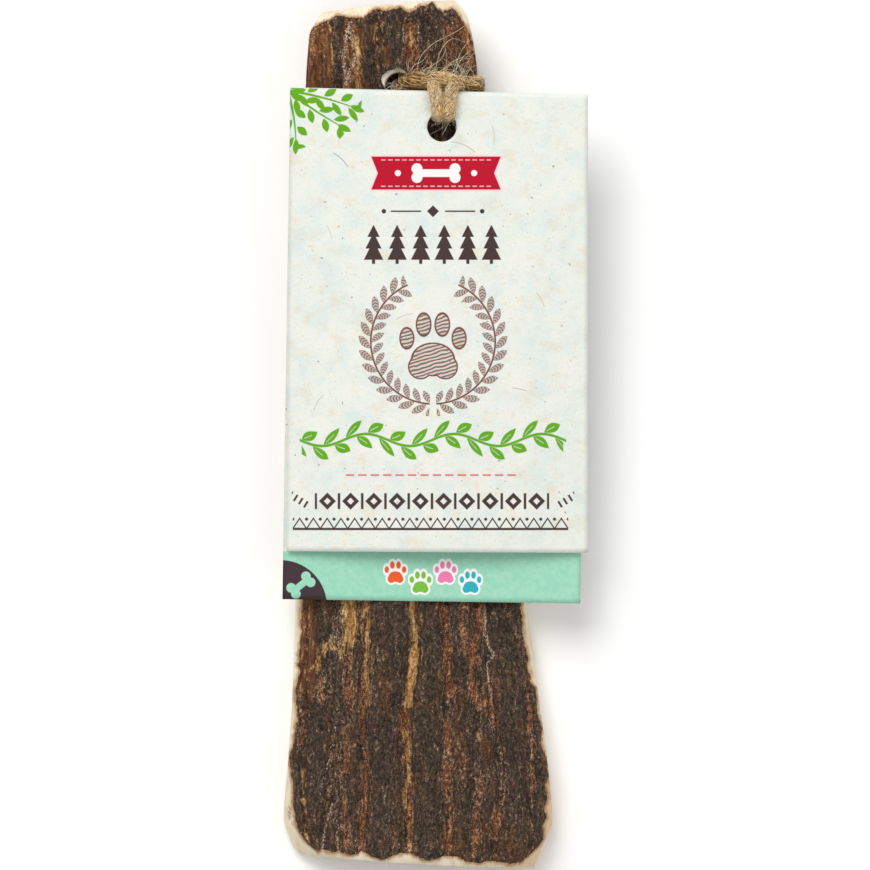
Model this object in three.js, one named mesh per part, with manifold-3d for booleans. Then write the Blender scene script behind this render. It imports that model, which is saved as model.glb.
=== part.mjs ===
// A deer antler chew: one slab of antler, sawn flat behind, with its bark left on the front and its
// edges sanded to a bevel. A folded card tag hangs from a hole drilled near the narrow end, tied
// with one length of jute twine.
//
// Millimetres. The slab lies on its sawn back, which is the plane z = 0. +X is to its right,
// +Y runs to the narrow end and +Z comes out of the bark. The origin is a point of the sawn back,
// midway along the slab. Towards the narrow end the antler's own bow lifts the slab off z = 0.

import * as THREE from 'three';
import { LoftGeometry } from 'three/addons/geometries/LoftGeometry.js';
import { mergeVertices } from 'three/addons/utils/BufferGeometryUtils.js';
import Module from 'manifold-3d';

const wasm = await Module();
wasm.setup();

// Outlines are drawn in picture units, x to the right and y down, over the length of the slab.
const ANTLER_LENGTH = 146;
const PICTURE_LENGTH = 868.9;
const MM = ANTLER_LENGTH / PICTURE_LENGTH;
const ORIGIN = { x: 420, y: 435 };

// Thickness of the slab over its sawn back, at the crest of the bark.
const NARROW_THICKNESS = 8.2;
const WIDE_THICKNESS = 9.8;
const CROWN_DROP = 2.4;
const CROWN_POWER = 2.6;

// The sanded edges: a steep bevel along the sides, a 45 degree one on the sawn ends.
const SIDE_FOOT = 2.6;
const SIDE_SLOPE = 2.6;
const END_FOOT = 7.0;
const END_SLOPE = 1.35;
const BACK_CHAMFER = 0.6;

// The bow of the antler starts here and lifts the narrow end.
const BOW_START = 370;
const BOW = 0.00225;

// The hole drilled through the slab, chipped wider where it breaks the bark.
const DRILL = { x: 399, y: 87, radius: 2.2, chipped: 3.05, chipDepth: 1.1 };

// The card tag and the hole punched through both of its leaves.
const CARD = 0.4;
const FOLD_RADIUS = 0.6;
const LEAF_BOW = 2.2;
const PUNCH = { x: 441.9, y: 128, radius: 2.47 };

// The jute twine and the room left between touching pieces.
const TWINE_RADIUS = 1.05;
const STRAND_RADIUS = 0.85;
const GAP = 0.3;

// The widest line of the slab down its left and right sides, [x, y].
const LEFT_EDGE = [
	[ 322, 13 ], [ 316, 22.5 ], [ 310.4, 32.8 ], [ 308.6, 45 ], [ 305.7, 89 ], [ 301.4, 300 ],
	[ 298.3, 450 ], [ 295.2, 600 ], [ 291.8, 700 ], [ 287.5, 765 ], [ 284.8, 792 ], [ 283.4, 814 ],
	[ 283.9, 823 ], [ 286.4, 832.3 ], [ 290.8, 843 ], [ 295, 851 ], [ 301, 855.6 ],
];
const RIGHT_EDGE = [
	[ 455, 0.5 ], [ 461, 7.4 ], [ 466.3, 15.4 ], [ 470, 26.8 ], [ 474.7, 50 ], [ 477.7, 75.7 ],
	[ 489, 190 ], [ 512, 460 ], [ 526.8, 603.4 ], [ 533.7, 656 ], [ 539.7, 703.3 ], [ 547, 756.5 ],
	[ 551.8, 803.9 ], [ 552.6, 817 ], [ 552, 826 ], [ 548.3, 835 ], [ 543, 847 ], [ 538, 859 ],
	[ 534.5, 868.9 ],
];

// The furrows that run the length of the bark, left to right: the half width and depth of each
// channel in millimetres, then the points of its floor.
function furrow( half, depth, ...line ) {

	return { half, depth, line };

}

const FURROWS = [
	furrow( 0.75, 0.8, [ 325, 0 ], [ 322, 90 ], [ 318, 300 ], [ 308, 600 ], [ 306, 680 ], [ 303, 870 ] ),
	furrow( 0.85, 1.0, [ 346, 0 ], [ 347, 90 ], [ 341, 300 ], [ 333, 600 ], [ 330, 700 ], [ 334, 760 ],
		[ 322, 870 ] ),
	furrow( 0.9, 1.2, [ 357, 0 ], [ 357, 90 ], [ 354, 300 ], [ 351, 600 ], [ 345, 740 ], [ 338, 870 ] ),
	furrow( 0.9, 1.3, [ 380, 0 ], [ 378, 90 ], [ 372, 300 ], [ 368, 600 ], [ 362, 715 ], [ 366, 770 ],
		[ 359, 870 ] ),
	furrow( 1.0, 1.6, [ 408, 0 ], [ 411, 60 ], [ 408, 300 ], [ 412, 600 ], [ 415, 646 ], [ 404, 724 ],
		[ 410, 800 ], [ 406, 870 ] ),
	furrow( 0.85, 1.2, [ 428, 0 ], [ 430, 90 ], [ 434, 300 ], [ 442, 600 ], [ 448, 650 ], [ 447, 770 ],
		[ 449, 870 ] ),
	furrow( 0.95, 1.2, [ 444, 0 ], [ 450, 90 ], [ 458, 300 ], [ 475, 600 ], [ 478, 700 ], [ 474, 870 ] ),
	furrow( 0.8, 1.3, [ 453, 0 ], [ 463, 90 ], [ 473, 300 ], [ 486, 600 ], [ 490, 700 ], [ 501, 780 ],
		[ 494, 870 ] ),
	furrow( 0.8, 0.9, [ 460, 0 ], [ 471, 90 ], [ 488, 300 ], [ 521, 600 ], [ 531, 742 ], [ 533, 870 ] ),
];

// The card's leaves, corner by corner, from the fold down: the back leaf is longer and a little askew.
const FOLD = { left: [ 290.7, 89.7 ], right: [ 587.3, 96.8 ] };
const FRONT_HEM = { left: [ 286.8, 551 ], right: [ 587.8, 552.6 ] };
const BACK_HEM = { left: [ 282.5, 599 ], right: [ 580.2, 603.3 ] };

function mix( a, b, t ) {

	return a + ( b - a ) * t;

}

function clampUnit( t ) {

	return Math.min( 1, Math.max( 0, t ) );

}

// A point of the object from picture units across the slab and millimetres out of it.
function place( x, y, z ) {

	return new THREE.Vector3( ( x - ORIGIN.x ) * MM, ( ORIGIN.y - y ) * MM, z );

}

// x of a smooth line through [x, y] points, at one y.
function lineAt( line, y ) {

	let k = 0;
	while ( k < line.length - 2 && y > line[ k + 1 ][ 1 ] ) k ++;
	const slopeAt = ( i ) => {

		const before = line[ Math.max( 0, i - 1 ) ];
		const after = line[ Math.min( line.length - 1, i + 1 ) ];
		return ( after[ 0 ] - before[ 0 ] ) / ( after[ 1 ] - before[ 1 ] );

	};

	const span = line[ k + 1 ][ 1 ] - line[ k ][ 1 ];
	const t = clampUnit( ( y - line[ k ][ 1 ] ) / span );
	const start = line[ k ][ 0 ] * ( 2 * t ** 3 - 3 * t ** 2 + 1 );
	const end = line[ k + 1 ][ 0 ] * ( 3 * t ** 2 - 2 * t ** 3 );
	const leave = slopeAt( k ) * span * ( t ** 3 - 2 * t ** 2 + t );
	const arrive = slopeAt( k + 1 ) * span * ( t ** 3 - t ** 2 );
	return start + end + leave + arrive;

}

// How far the sawn back is lifted off z = 0 by the bow of the antler.
function lift( y ) {

	return BOW * ( Math.max( 0, BOW_START - y ) * MM ) ** 2;

}

// Thickness of the slab if it had no sanded edges: a low crown, soft lumps and the furrows.
function barkThickness( x, y ) {

	const left = lineAt( LEFT_EDGE, y );
	const right = lineAt( RIGHT_EDGE, y );
	const across = clampUnit( ( x - left ) / ( right - left ) );
	let height = mix( NARROW_THICKNESS, WIDE_THICKNESS, y / PICTURE_LENGTH );
	height -= CROWN_DROP * Math.abs( 2 * across - 1 ) ** CROWN_POWER;
	height += 0.22 * Math.sin( y / 21 + 2.5 * Math.sin( x / 23 ) ) + 0.16 * Math.sin( y / 9 + x / 13 );
	for ( const { half, depth, line } of FURROWS ) {

		const away = ( x - lineAt( line, y ) ) * MM / half;
		height -= depth * Math.exp( - away * away );

	}

	return height;

}

// Thickness that the sanded bevel leaves at a distance from the nearest side or end.
function bevelThickness( x, y ) {

	const side = ( edge, sign ) => {

		const lean = Math.atan( ( lineAt( edge, y + 1 ) - lineAt( edge, y - 1 ) ) / 2 );
		return sign * ( x - lineAt( edge, y ) ) * MM * Math.cos( lean );

	};

	const end = ( first, last, sign ) => {

		const t = ( x - first[ 0 ] ) / ( last[ 0 ] - first[ 0 ] );
		return sign * ( y - mix( first[ 1 ], last[ 1 ], t ) ) * MM;

	};

	const toSide = Math.min( side( LEFT_EDGE, 1 ), side( RIGHT_EDGE, - 1 ) );
	const toTop = end( LEFT_EDGE[ 0 ], RIGHT_EDGE[ 0 ], 1 );
	const toFoot = end( LEFT_EDGE.at( - 1 ), RIGHT_EDGE.at( - 1 ), - 1 );
	const fromSide = SIDE_FOOT + SIDE_SLOPE * Math.max( 0, toSide );
	const fromEnd = END_FOOT + END_SLOPE * Math.max( 0, Math.min( toTop, toFoot ) );
	return Math.min( fromSide, fromEnd );

}

function frontHeight( x, y ) {

	return lift( y ) + Math.min( barkThickness( x, y ), bevelThickness( x, y ) );

}

// The highest bark within reach of a point, for what lies on it.
function barkTop( x, y, reach ) {

	const steps = [ - 1, - 0.5, 0, 0.5, 1 ].map( ( step ) => step * reach / MM );
	return Math.max( ...steps.flatMap( ( dx ) => steps.map( ( dy ) => frontHeight( x + dx, y + dy ) ) ) );

}

// Columns of the bark at one crossing of the slab: close together down the bevels, then one on the
// floor of each furrow, one on each of its banks, and one along each ridge between two furrows.
const BEVEL_COLUMNS = [ 0, 3, 6.5, 10.5 ];
const COLUMN_GAP = 2.2;
const BANK = 1.25;

function columnsAt( left, right, yAt ) {

	const inner = [];
	let ridgeFrom = left + BEVEL_COLUMNS.at( - 1 );
	for ( const { half, line } of FURROWS ) {

		const floor = lineAt( line, yAt( lineAt( line, yAt( ( left + right ) / 2 ) ) ) );
		const bank = BANK * half / MM;
		inner.push( ( ridgeFrom + floor - bank ) / 2, floor - bank, floor, floor + bank );
		ridgeFrom = floor + bank;

	}

	inner.push( ( ridgeFrom + right - BEVEL_COLUMNS.at( - 1 ) ) / 2 );
	const columns = [ ...BEVEL_COLUMNS.map( ( offset ) => left + offset ), ...inner ];
	columns.push( ...BEVEL_COLUMNS.map( ( offset ) => right - offset ).reverse() );
	for ( let k = BEVEL_COLUMNS.length; k < columns.length - BEVEL_COLUMNS.length; k ++ ) {

		columns[ k ] = Math.max( columns[ k ], columns[ k - 1 ] + COLUMN_GAP );

	}

	for ( let k = columns.length - 1 - BEVEL_COLUMNS.length; k >= BEVEL_COLUMNS.length; k -- ) {

		columns[ k ] = Math.min( columns[ k ], columns[ k + 1 ] - COLUMN_GAP );

	}

	return columns;

}

// One crossing of the slab as a closed ring: up its right side, over the bark, down its left side
// and home along the sawn back.
function crossing( fraction ) {

	const yLeft = mix( LEFT_EDGE[ 0 ][ 1 ], LEFT_EDGE.at( - 1 )[ 1 ], fraction );
	const yRight = mix( RIGHT_EDGE[ 0 ][ 1 ], RIGHT_EDGE.at( - 1 )[ 1 ], fraction );
	const left = lineAt( LEFT_EDGE, yLeft );
	const right = lineAt( RIGHT_EDGE, yRight );
	const yAt = ( x ) => mix( yLeft, yRight, ( x - left ) / ( right - left ) );
	const chamfer = BACK_CHAMFER / MM;
	const ring = [
		place( right - chamfer, yAt( right ), lift( yRight ) ),
		place( right, yRight, lift( yRight ) + BACK_CHAMFER ),
	];
	for ( const x of columnsAt( left, right, yAt ).reverse() ) {

		ring.push( place( x, yAt( x ), frontHeight( x, yAt( x ) ) ) );

	}

	ring.push( place( left, yLeft, lift( yLeft ) + BACK_CHAMFER ) );
	ring.push( place( left + chamfer, yAt( left ), lift( yLeft ) ) );
	return ring;

}

// A closed three.js geometry as a solid that can be cut and joined, and the way back.
function solidOf( geometry ) {

	const bare = new THREE.BufferGeometry();
	bare.setAttribute( 'position', geometry.attributes.position );
	bare.setIndex( geometry.index );
	const merged = mergeVertices( bare, 1e-4 );
	const vertProperties = new Float32Array( merged.attributes.position.array );
	const corners = merged.index.array;
	const kept = [];
	for ( let k = 0; k < corners.length; k += 3 ) {

		const [ a, b, c ] = corners.slice( k, k + 3 );
		if ( a !== b && b !== c && c !== a ) kept.push( a, b, c );

	}

	const triVerts = new Uint32Array( kept );
	return new wasm.Manifold( new wasm.Mesh( { numProp: 3, vertProperties, triVerts } ) );

}

function geometryOf( solid ) {

	const { vertProperties, triVerts } = solid.getMesh();
	const geometry = new THREE.BufferGeometry();
	geometry.setAttribute( 'position', new THREE.BufferAttribute( new Float32Array( vertProperties ), 3 ) );
	geometry.setIndex( new THREE.BufferAttribute( new Uint32Array( triVerts ), 1 ) );
	geometry.computeVertexNormals();
	return geometry;

}

// The round cutter of a hole, standing along Z at the hole's place, from [radius, z] points.
const HOLE_SIDES = 20;

function turned( hole, profile ) {

	const points = profile.map( ( [ radius, z ] ) => new THREE.Vector2( radius, z ) );
	const centre = place( hole.x, hole.y, 0 );
	return new THREE.LatheGeometry( points, HOLE_SIDES )
		.rotateX( Math.PI / 2 )
		.translate( centre.x, centre.y, 0 );

}

// The antler
const END_ROWS = [ 0, 3.5, 7, 11, 16, 23 ];
const ROW_STEP = 16;

function antlerRows() {

	const ends = END_ROWS.map( ( offset ) => offset / PICTURE_LENGTH );
	const from = ends.at( - 1 );
	const steps = Math.round( ( 1 - 2 * from ) * PICTURE_LENGTH / ROW_STEP );
	const middle = Array.from( { length: steps - 1 }, ( _, k ) => mix( from, 1 - from, ( k + 1 ) / steps ) );
	return [ ...ends, ...middle, ...ends.map( ( offset ) => 1 - offset ).reverse() ];

}

function antlerGeometry() {

	const slab = new LoftGeometry( antlerRows().map( crossing ), { capStart: true, capEnd: true } );
	const { radius, chipped, chipDepth } = DRILL;
	const bark = frontHeight( DRILL.x, DRILL.y );
	const lip = bark - chipDepth;
	const drill = turned( DRILL, [
		[ 0, - 1 ], [ radius, - 1 ], [ radius, lip ], [ chipped, lip + chipDepth * 0.6 ],
		[ chipped, bark + 2 ], [ 0, bark + 2 ],
	] );
	return geometryOf( solidOf( slab ).subtract( solidOf( drill ) ) );

}

// The tag lies on the bark at its lower end and on the twine at its fold.
const BARK_UNDER_HEM = barkTop( 415, 592, 6 );
const BARK_UNDER_FOLD = barkTop( PUNCH.x, 110, 2.4 );
const HEM_Z = BARK_UNDER_HEM + GAP + CARD / 2;
const FOLD_Z = BARK_UNDER_FOLD + 2 * GAP + 2 * TWINE_RADIUS + CARD / 2;

// Height of the middle of the back leaf.
function backLeafZ( y ) {

	return mix( FOLD_Z, HEM_Z, ( y - FOLD.left[ 1 ] ) / ( BACK_HEM.left[ 1 ] - FOLD.left[ 1 ] ) );

}

// How far the front leaf stands off the back one: it bows out between its lower corners.
function leafOpening( across, down ) {

	const belly = Math.sin( Math.PI * across ) ** 1.3 * Math.sin( down * Math.PI / 2 ) ** 2;
	return 2 * FOLD_RADIUS + LEAF_BOW * belly;

}

const CARD_COLUMNS = 8;
const LEAF_ROWS = 10;
const FOLD_ROWS = 6;

// A strip of card across the tag, as a ring: its outer face left to right, its inner face back.
function cardStrip( left, right, zAt, normal ) {

	const face = ( side ) => Array.from( { length: CARD_COLUMNS + 1 }, ( _, k ) => {

		const across = k / CARD_COLUMNS;
		const x = mix( left[ 0 ], right[ 0 ], across );
		const y = mix( left[ 1 ], right[ 1 ], across );
		return place( x, y, zAt( across, y ) ).addScaledVector( normal, side * CARD / 2 );

	} );
	return [ ...face( 1 ), ...face( - 1 ).reverse() ];

}

function along( from, to, t ) {

	return [ mix( from[ 0 ], to[ 0 ], t ), mix( from[ 1 ], to[ 1 ], t ) ];

}

// Strips of a leaf from the share of the way down its left side that it starts at to where it ends.
function leafStrips( hem, from, to, zAt, normal ) {

	return Array.from( { length: LEAF_ROWS + 1 }, ( _, k ) => {

		const down = mix( from, to, k / LEAF_ROWS );
		const left = along( FOLD.left, hem.left, down );
		const right = along( FOLD.right, hem.right, down );
		return cardStrip( left, right, ( across, y ) => zAt( across, y, down ), normal );

	} );

}

// Strips round the fold, which is half a turn from the front leaf to the back one.
function foldStrips( start ) {

	return Array.from( { length: FOLD_ROWS - 1 }, ( _, k ) => {

		const turn = Math.PI * ( k + 1 ) / FOLD_ROWS;
		const reach = ( 1 - Math.sin( turn ) ) * start;
		const left = along( FOLD.left, FRONT_HEM.left, reach );
		const right = along( FOLD.right, FRONT_HEM.right, reach );
		const normal = new THREE.Vector3( 0, Math.sin( turn ), Math.cos( turn ) );
		const rise = FOLD_RADIUS * ( 1 + Math.cos( turn ) );
		return cardStrip( left, right, ( across, y ) => backLeafZ( y ) + rise, normal );

	} );

}

function tagGeometry() {

	const out = new THREE.Vector3( 0, 0, 1 );
	const under = new THREE.Vector3( 0, 0, - 1 );
	const foldShare = ( hem ) => FOLD_RADIUS / MM / ( hem.left[ 1 ] - FOLD.left[ 1 ] );
	const frontZ = ( across, y, down ) => backLeafZ( y ) + leafOpening( across, down );
	const backZ = ( across, y ) => backLeafZ( y );
	const strips = [
		...leafStrips( FRONT_HEM, 1, foldShare( FRONT_HEM ), frontZ, out ),
		...foldStrips( foldShare( FRONT_HEM ) ),
		...leafStrips( BACK_HEM, foldShare( BACK_HEM ), 1, backZ, under ),
	];
	const card = new LoftGeometry( strips, { capStart: true, capEnd: true } );
	const [ low, high ] = [ FOLD_Z - 3, FOLD_Z + 5 ];
	const { radius } = PUNCH;
	const punch = turned( PUNCH, [ [ 0, low ], [ radius, low ], [ radius, high ], [ 0, high ] ] );
	return geometryOf( solidOf( card ).subtract( solidOf( punch ) ) );

}

// The twine: a bight passed through the punched hole and over the fold, with both ends led out
// under it, one into the drilled hole and one round the right edge, and tied behind the slab.
const TWINE_SIDES = 8;
const BEHIND_CARD = backLeafZ( 110 ) - CARD / 2 - GAP - TWINE_RADIUS;
const OVER_CARD = backLeafZ( 110 ) + 2 * FOLD_RADIUS + CARD / 2 + GAP + STRAND_RADIUS;
const BEHIND_SLAB = 2.6;
const LEFT_STRAND = 436.6;
const RIGHT_STRAND = 447.6;
const THROUGH_PUNCH = 124.5;
const KNOT = { x: 439, y: 84.5 };

function twineAlong( points, radius, steps ) {

	const section = new THREE.Shape().absarc( 0, 0, radius, 0, 2 * Math.PI );
	const extrudePath = new THREE.CatmullRomCurve3( points, false, 'centripetal' );
	return new THREE.ExtrudeGeometry( section, { steps, extrudePath, curveSegments: TWINE_SIDES / 2 } );

}

function onBark( x, y, radius ) {

	return place( x, y, barkTop( x, y, radius ) + GAP + radius );

}

// Up behind the card, out through the punched hole, over the fold and back down the same way.
function bight() {

	const middle = ( LEFT_STRAND + RIGHT_STRAND ) / 2;
	const strand = ( x, bend ) => [
		place( x, 104, BEHIND_CARD ),
		place( x, 117, BEHIND_CARD ),
		place( x, THROUGH_PUNCH, ( BEHIND_CARD + OVER_CARD ) / 2 ),
		place( x, 116, OVER_CARD + 0.1 ),
		place( x + bend * 0.3, 104, OVER_CARD + 0.1 ),
		place( x + bend, 92, OVER_CARD - 0.2 ),
	];
	return twineAlong( [
		...strand( LEFT_STRAND, - 3 ),
		place( middle - 5, 84, OVER_CARD - 0.2 ),
		place( middle + 5, 84, OVER_CARD - 0.2 ),
		...strand( RIGHT_STRAND, 3 ).reverse(),
	], STRAND_RADIUS, 34 );

}

// From behind the card across the bark, round the right edge and back behind the slab to the knot.
function rightEnd() {

	const edge = lineAt( RIGHT_EDGE, 85 ) + ( TWINE_RADIUS + GAP ) / MM;
	return twineAlong( [
		place( RIGHT_STRAND, 110, BEHIND_CARD ),
		place( RIGHT_STRAND + 1, 96, BEHIND_CARD ),
		place( 458, 87, Math.max( BEHIND_CARD, onBark( 458, 87, TWINE_RADIUS ).z ) ),
		onBark( 468, 85, TWINE_RADIUS ),
		onBark( 476, 84.5, TWINE_RADIUS + 0.35 ),
		place( edge, 84.5, lift( 85 ) + SIDE_FOOT + 1.2 ),
		place( edge, 84.5, lift( 85 ) + 1 ),
		place( edge - 5, 84.5, BEHIND_SLAB + 0.5 ),
		place( 465, 84.5, BEHIND_SLAB ),
		place( 446, 84.5, BEHIND_SLAB ),
	], TWINE_RADIUS, 26 );

}

// From behind the card into the drilled hole, out of the back of it and across to the knot.
function leftEnd() {

	const lip = frontHeight( 406, 85 );
	return twineAlong( [
		place( LEFT_STRAND, 110, BEHIND_CARD ),
		place( LEFT_STRAND - 1, 96, BEHIND_CARD ),
		place( 427, 85, Math.max( BEHIND_CARD, onBark( 427, 85, TWINE_RADIUS ).z ) ),
		onBark( 414, 82, TWINE_RADIUS + 0.1 ),
		place( 403.5, 84, lip + 0.9 ),
		place( DRILL.x, DRILL.y, lip - 2 ),
		place( DRILL.x, DRILL.y, lift( DRILL.y ) + 1.5 ),
		place( 403, 86, BEHIND_SLAB + 0.6 ),
		place( 413, 84.5, BEHIND_SLAB ),
		place( 432, 84.5, BEHIND_SLAB ),
	], TWINE_RADIUS, 26 );

}

// The knot behind the slab: a tight lump with two turns round it and two short tails.
function knotPieces() {

	const centre = place( KNOT.x, KNOT.y, BEHIND_SLAB );
	const turn = ( angle ) => new THREE.TorusGeometry( 1.75, 0.75, 6, 12 )
		.rotateY( Math.PI / 2 )
		.rotateZ( angle )
		.scale( 1, 1, 0.8 )
		.translate( centre.x, centre.y, centre.z );
	const tail = ( dx, dy ) => twineAlong( [
		centre,
		place( KNOT.x + dx * 0.4, KNOT.y - dy * 0.5, BEHIND_SLAB - 0.3 ),
		place( KNOT.x + dx, KNOT.y - dy, 1.5 ),
	], STRAND_RADIUS, 6 );
	const lump = new THREE.SphereGeometry( 1, 10, 7 )
		.scale( 2.5, 2.2, 2.0 )
		.translate( centre.x, centre.y, centre.z );
	return [ lump, turn( 0.45 ), turn( - 0.5 ), tail( - 32, 36 ), tail( 15, 44 ) ];

}

function twineGeometry() {

	const pieces = [ bight(), rightEnd(), leftEnd(), ...knotPieces() ];
	return geometryOf( pieces.map( solidOf ).reduce( ( whole, piece ) => whole.add( piece ) ) );

}

const bark = new THREE.MeshStandardMaterial( { color: 0x453428, roughness: 0.85, metalness: 0 } );
const card = new THREE.MeshStandardMaterial( { color: 0xe8ece2, roughness: 0.9, metalness: 0 } );
const jute = new THREE.MeshStandardMaterial( { color: 0xbe965f, roughness: 0.95, metalness: 0 } );

const antler = new THREE.Mesh( antlerGeometry(), bark );
antler.name = 'antler';

const tag = new THREE.Mesh( tagGeometry(), card );
tag.name = 'tag';

const twine = new THREE.Mesh( twineGeometry(), jute );
twine.name = 'twine';

const group = new THREE.Group();
group.name = 'antler_chew';
group.add( antler, tag, twine );

export default group;
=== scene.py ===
"""A dog chew sawn from a shed deer antler, with a folded card tag tied to it by jute twine."""

import math

import bmesh
import bpy
import numpy as np
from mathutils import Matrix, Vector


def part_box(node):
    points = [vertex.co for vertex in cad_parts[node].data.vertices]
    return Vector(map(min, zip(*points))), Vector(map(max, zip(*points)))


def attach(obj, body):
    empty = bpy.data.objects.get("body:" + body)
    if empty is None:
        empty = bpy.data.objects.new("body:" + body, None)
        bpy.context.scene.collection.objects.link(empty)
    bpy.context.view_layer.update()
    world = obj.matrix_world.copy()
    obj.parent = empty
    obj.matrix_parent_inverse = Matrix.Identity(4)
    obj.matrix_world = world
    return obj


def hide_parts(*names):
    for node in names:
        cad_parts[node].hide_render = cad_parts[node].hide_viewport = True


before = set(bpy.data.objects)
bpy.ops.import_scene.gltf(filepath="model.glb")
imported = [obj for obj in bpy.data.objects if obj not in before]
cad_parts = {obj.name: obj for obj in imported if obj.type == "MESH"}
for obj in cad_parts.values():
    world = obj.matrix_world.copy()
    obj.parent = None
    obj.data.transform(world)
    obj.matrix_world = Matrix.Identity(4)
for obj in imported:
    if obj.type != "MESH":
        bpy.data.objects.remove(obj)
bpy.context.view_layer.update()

# The antler
# A slab of shed deer antler, sawn flat behind and square at both ends. Its dark bark is left on the
# front, its rims are sanded down to the pale bone, and one hole is drilled near its narrow end.

# Outlines are drawn in picture units, x to the right and y down, over the length of the slab.
ANTLER_LENGTH = 146
PICTURE_LENGTH = 868.9
MM = ANTLER_LENGTH / PICTURE_LENGTH
MIDDLE_X = 420
MIDDLE_Y = 435

# Millimetres. The slab's thickness at the crest of its bark, and how far the bark falls to the sides.
NARROW_THICKNESS = 8.2
WIDE_THICKNESS = 9.8
CROWN_DROP = 2.4
CROWN_POWER = 2.6

# The sanded rims: millimetres that they fall for each one across, and the room below them.
SIDE_SLOPE = 2.6
END_SLOPE = 1.35
LOWEST_FOOT = 2.2
BACK_CHAMFER = 0.6

# The bark stands this far over the sanded bone, and the tag presses it flatter between two lines.
BARK_STEP = 0.42
PRESSED_FROM = 94
PRESSED_TO = 602

# The bow of the antler starts here and lifts the narrow end.
BOW_START = 370
BOW = 0.00225

# The drilled hole, chipped wider where it breaks the bark.
DRILL_X = 399
DRILL_Y = 87
DRILL_RADIUS = 2.2
DRILL_WAIST = 1.5
DRILL_CHIPPED = 2.82
DRILL_CHIP_DEPTH = 0.55

# The widest line of the slab down its left and right sides, and how far its ends bulge, as (x, y).
LEFT_EDGE = [
    (322, 13), (316, 22.5), (310.4, 32.8), (308.6, 45), (305.7, 89), (301.4, 300), (298.3, 450),
    (295.2, 600), (291.8, 700), (287.5, 765), (284.8, 792), (283.4, 814), (283.9, 823),
    (286.4, 832.3), (290.8, 843), (295, 851), (301, 855.6),
]
RIGHT_EDGE = [
    (455, 0.5), (461, 7.4), (466.3, 15.4), (470, 26.8), (474.7, 50), (477.7, 75.7), (489, 190),
    (512, 460), (526.8, 603.4), (533.7, 656), (539.7, 703.3), (547, 756.5), (551.8, 803.9),
    (552.6, 817), (552, 826), (548.3, 835), (543, 847), (538, 859), (534.5, 868.9),
]
TOP_BULGE = -1.4
FOOT_BULGE = 2.4

# Where the bark stops and the sanded bone begins, round all four sides.
BARK_LEFT = [
    (323, 13), (315, 28), (310.6, 34), (308.8, 45), (306, 90), (308, 180), (309, 300), (306, 450),
    (304, 600), (302.2, 613), (301.6, 622), (302.5, 631), (300.6, 648), (299, 664), (300.6, 671),
    (296.8, 686), (295.8, 699), (297.8, 709), (296.2, 732), (294.6, 740), (290.2, 758), (289.7, 764),
    (292.4, 770), (293.5, 787), (295, 814), (296.7, 828), (303, 838), (312, 847), (322, 856),
]
BARK_RIGHT = [
    (452, 0.5), (457.6, 15.4), (462.3, 21.4), (465.7, 28), (469.7, 37.5), (473.4, 50), (475.9, 64),
    (476.6, 90), (484, 200), (500, 400), (511, 520), (520.3, 603), (521.2, 626), (524.6, 648),
    (527.2, 660), (529.4, 682), (535.4, 690), (536.3, 706), (540.6, 729), (539.7, 744), (545.3, 760),
    (548.3, 777), (544.4, 784), (547.9, 799), (544, 808), (544.9, 818), (541.4, 826), (542.7, 840),
    (536, 849), (524, 861),
]
BARK_TOP = [
    (310, 33), (317, 26.5), (327, 23), (336.5, 18.4), (346, 17.8), (352, 20), (362.6, 19.4),
    (371, 14.7), (376, 11.6), (384.7, 12.7), (396, 11), (400, 8.7), (406, 13.4), (411, 14.4),
    (420, 8.4), (428, 6.7), (432, 3.7), (437.5, 12), (443, 14.7), (452, 10), (458, 15.4), (466, 28),
]
BARK_FOOT = [
    (294, 836), (302, 838), (310, 846), (318, 851), (322, 848), (334, 853), (338, 850.7), (350, 855.5),
    (361, 850.4), (371, 856), (382, 858.5), (397, 853), (411, 852.5), (420, 858.5), (429, 860.3),
    (438, 858.5), (443, 854.7), (454, 854.7), (466, 860.3), (480, 861.6), (493, 860.3), (509, 863.7),
    (521, 862), (533, 853), (541, 845), (549, 838),
]

# The furrows down the bark: half width and depth in millimetres, then the line of the floor.
FURROWS = [
    (0.75, 0.8, [(325, 0), (322, 90), (318, 300), (308, 600), (306, 680), (303, 870)]),
    (0.85, 1.0, [(346, 0), (347, 90), (341, 300), (333, 600), (330, 700), (334, 760), (322, 870)]),
    (0.9, 1.2, [(357, 0), (357, 90), (354, 300), (351, 600), (345, 740), (338, 870)]),
    (0.9, 1.3, [(380, 0), (378, 90), (372, 300), (368, 600), (362, 715), (366, 770), (359, 870)]),
    (1.0, 1.6, [(408, 0), (411, 60), (408, 300), (412, 600), (415, 646), (404, 724), (410, 800),
                (406, 870)]),
    (0.85, 1.2, [(428, 0), (430, 90), (434, 300), (442, 600), (448, 650), (447, 770), (449, 870)]),
    (0.95, 1.2, [(444, 0), (450, 90), (458, 300), (475, 600), (478, 700), (474, 870)]),
    (0.8, 1.3, [(453, 0), (463, 90), (473, 300), (486, 600), (490, 700), (501, 780), (494, 870)]),
    (0.8, 0.9, [(460, 0), (471, 90), (488, 300), (521, 600), (531, 742), (533, 870)]),
]

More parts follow.
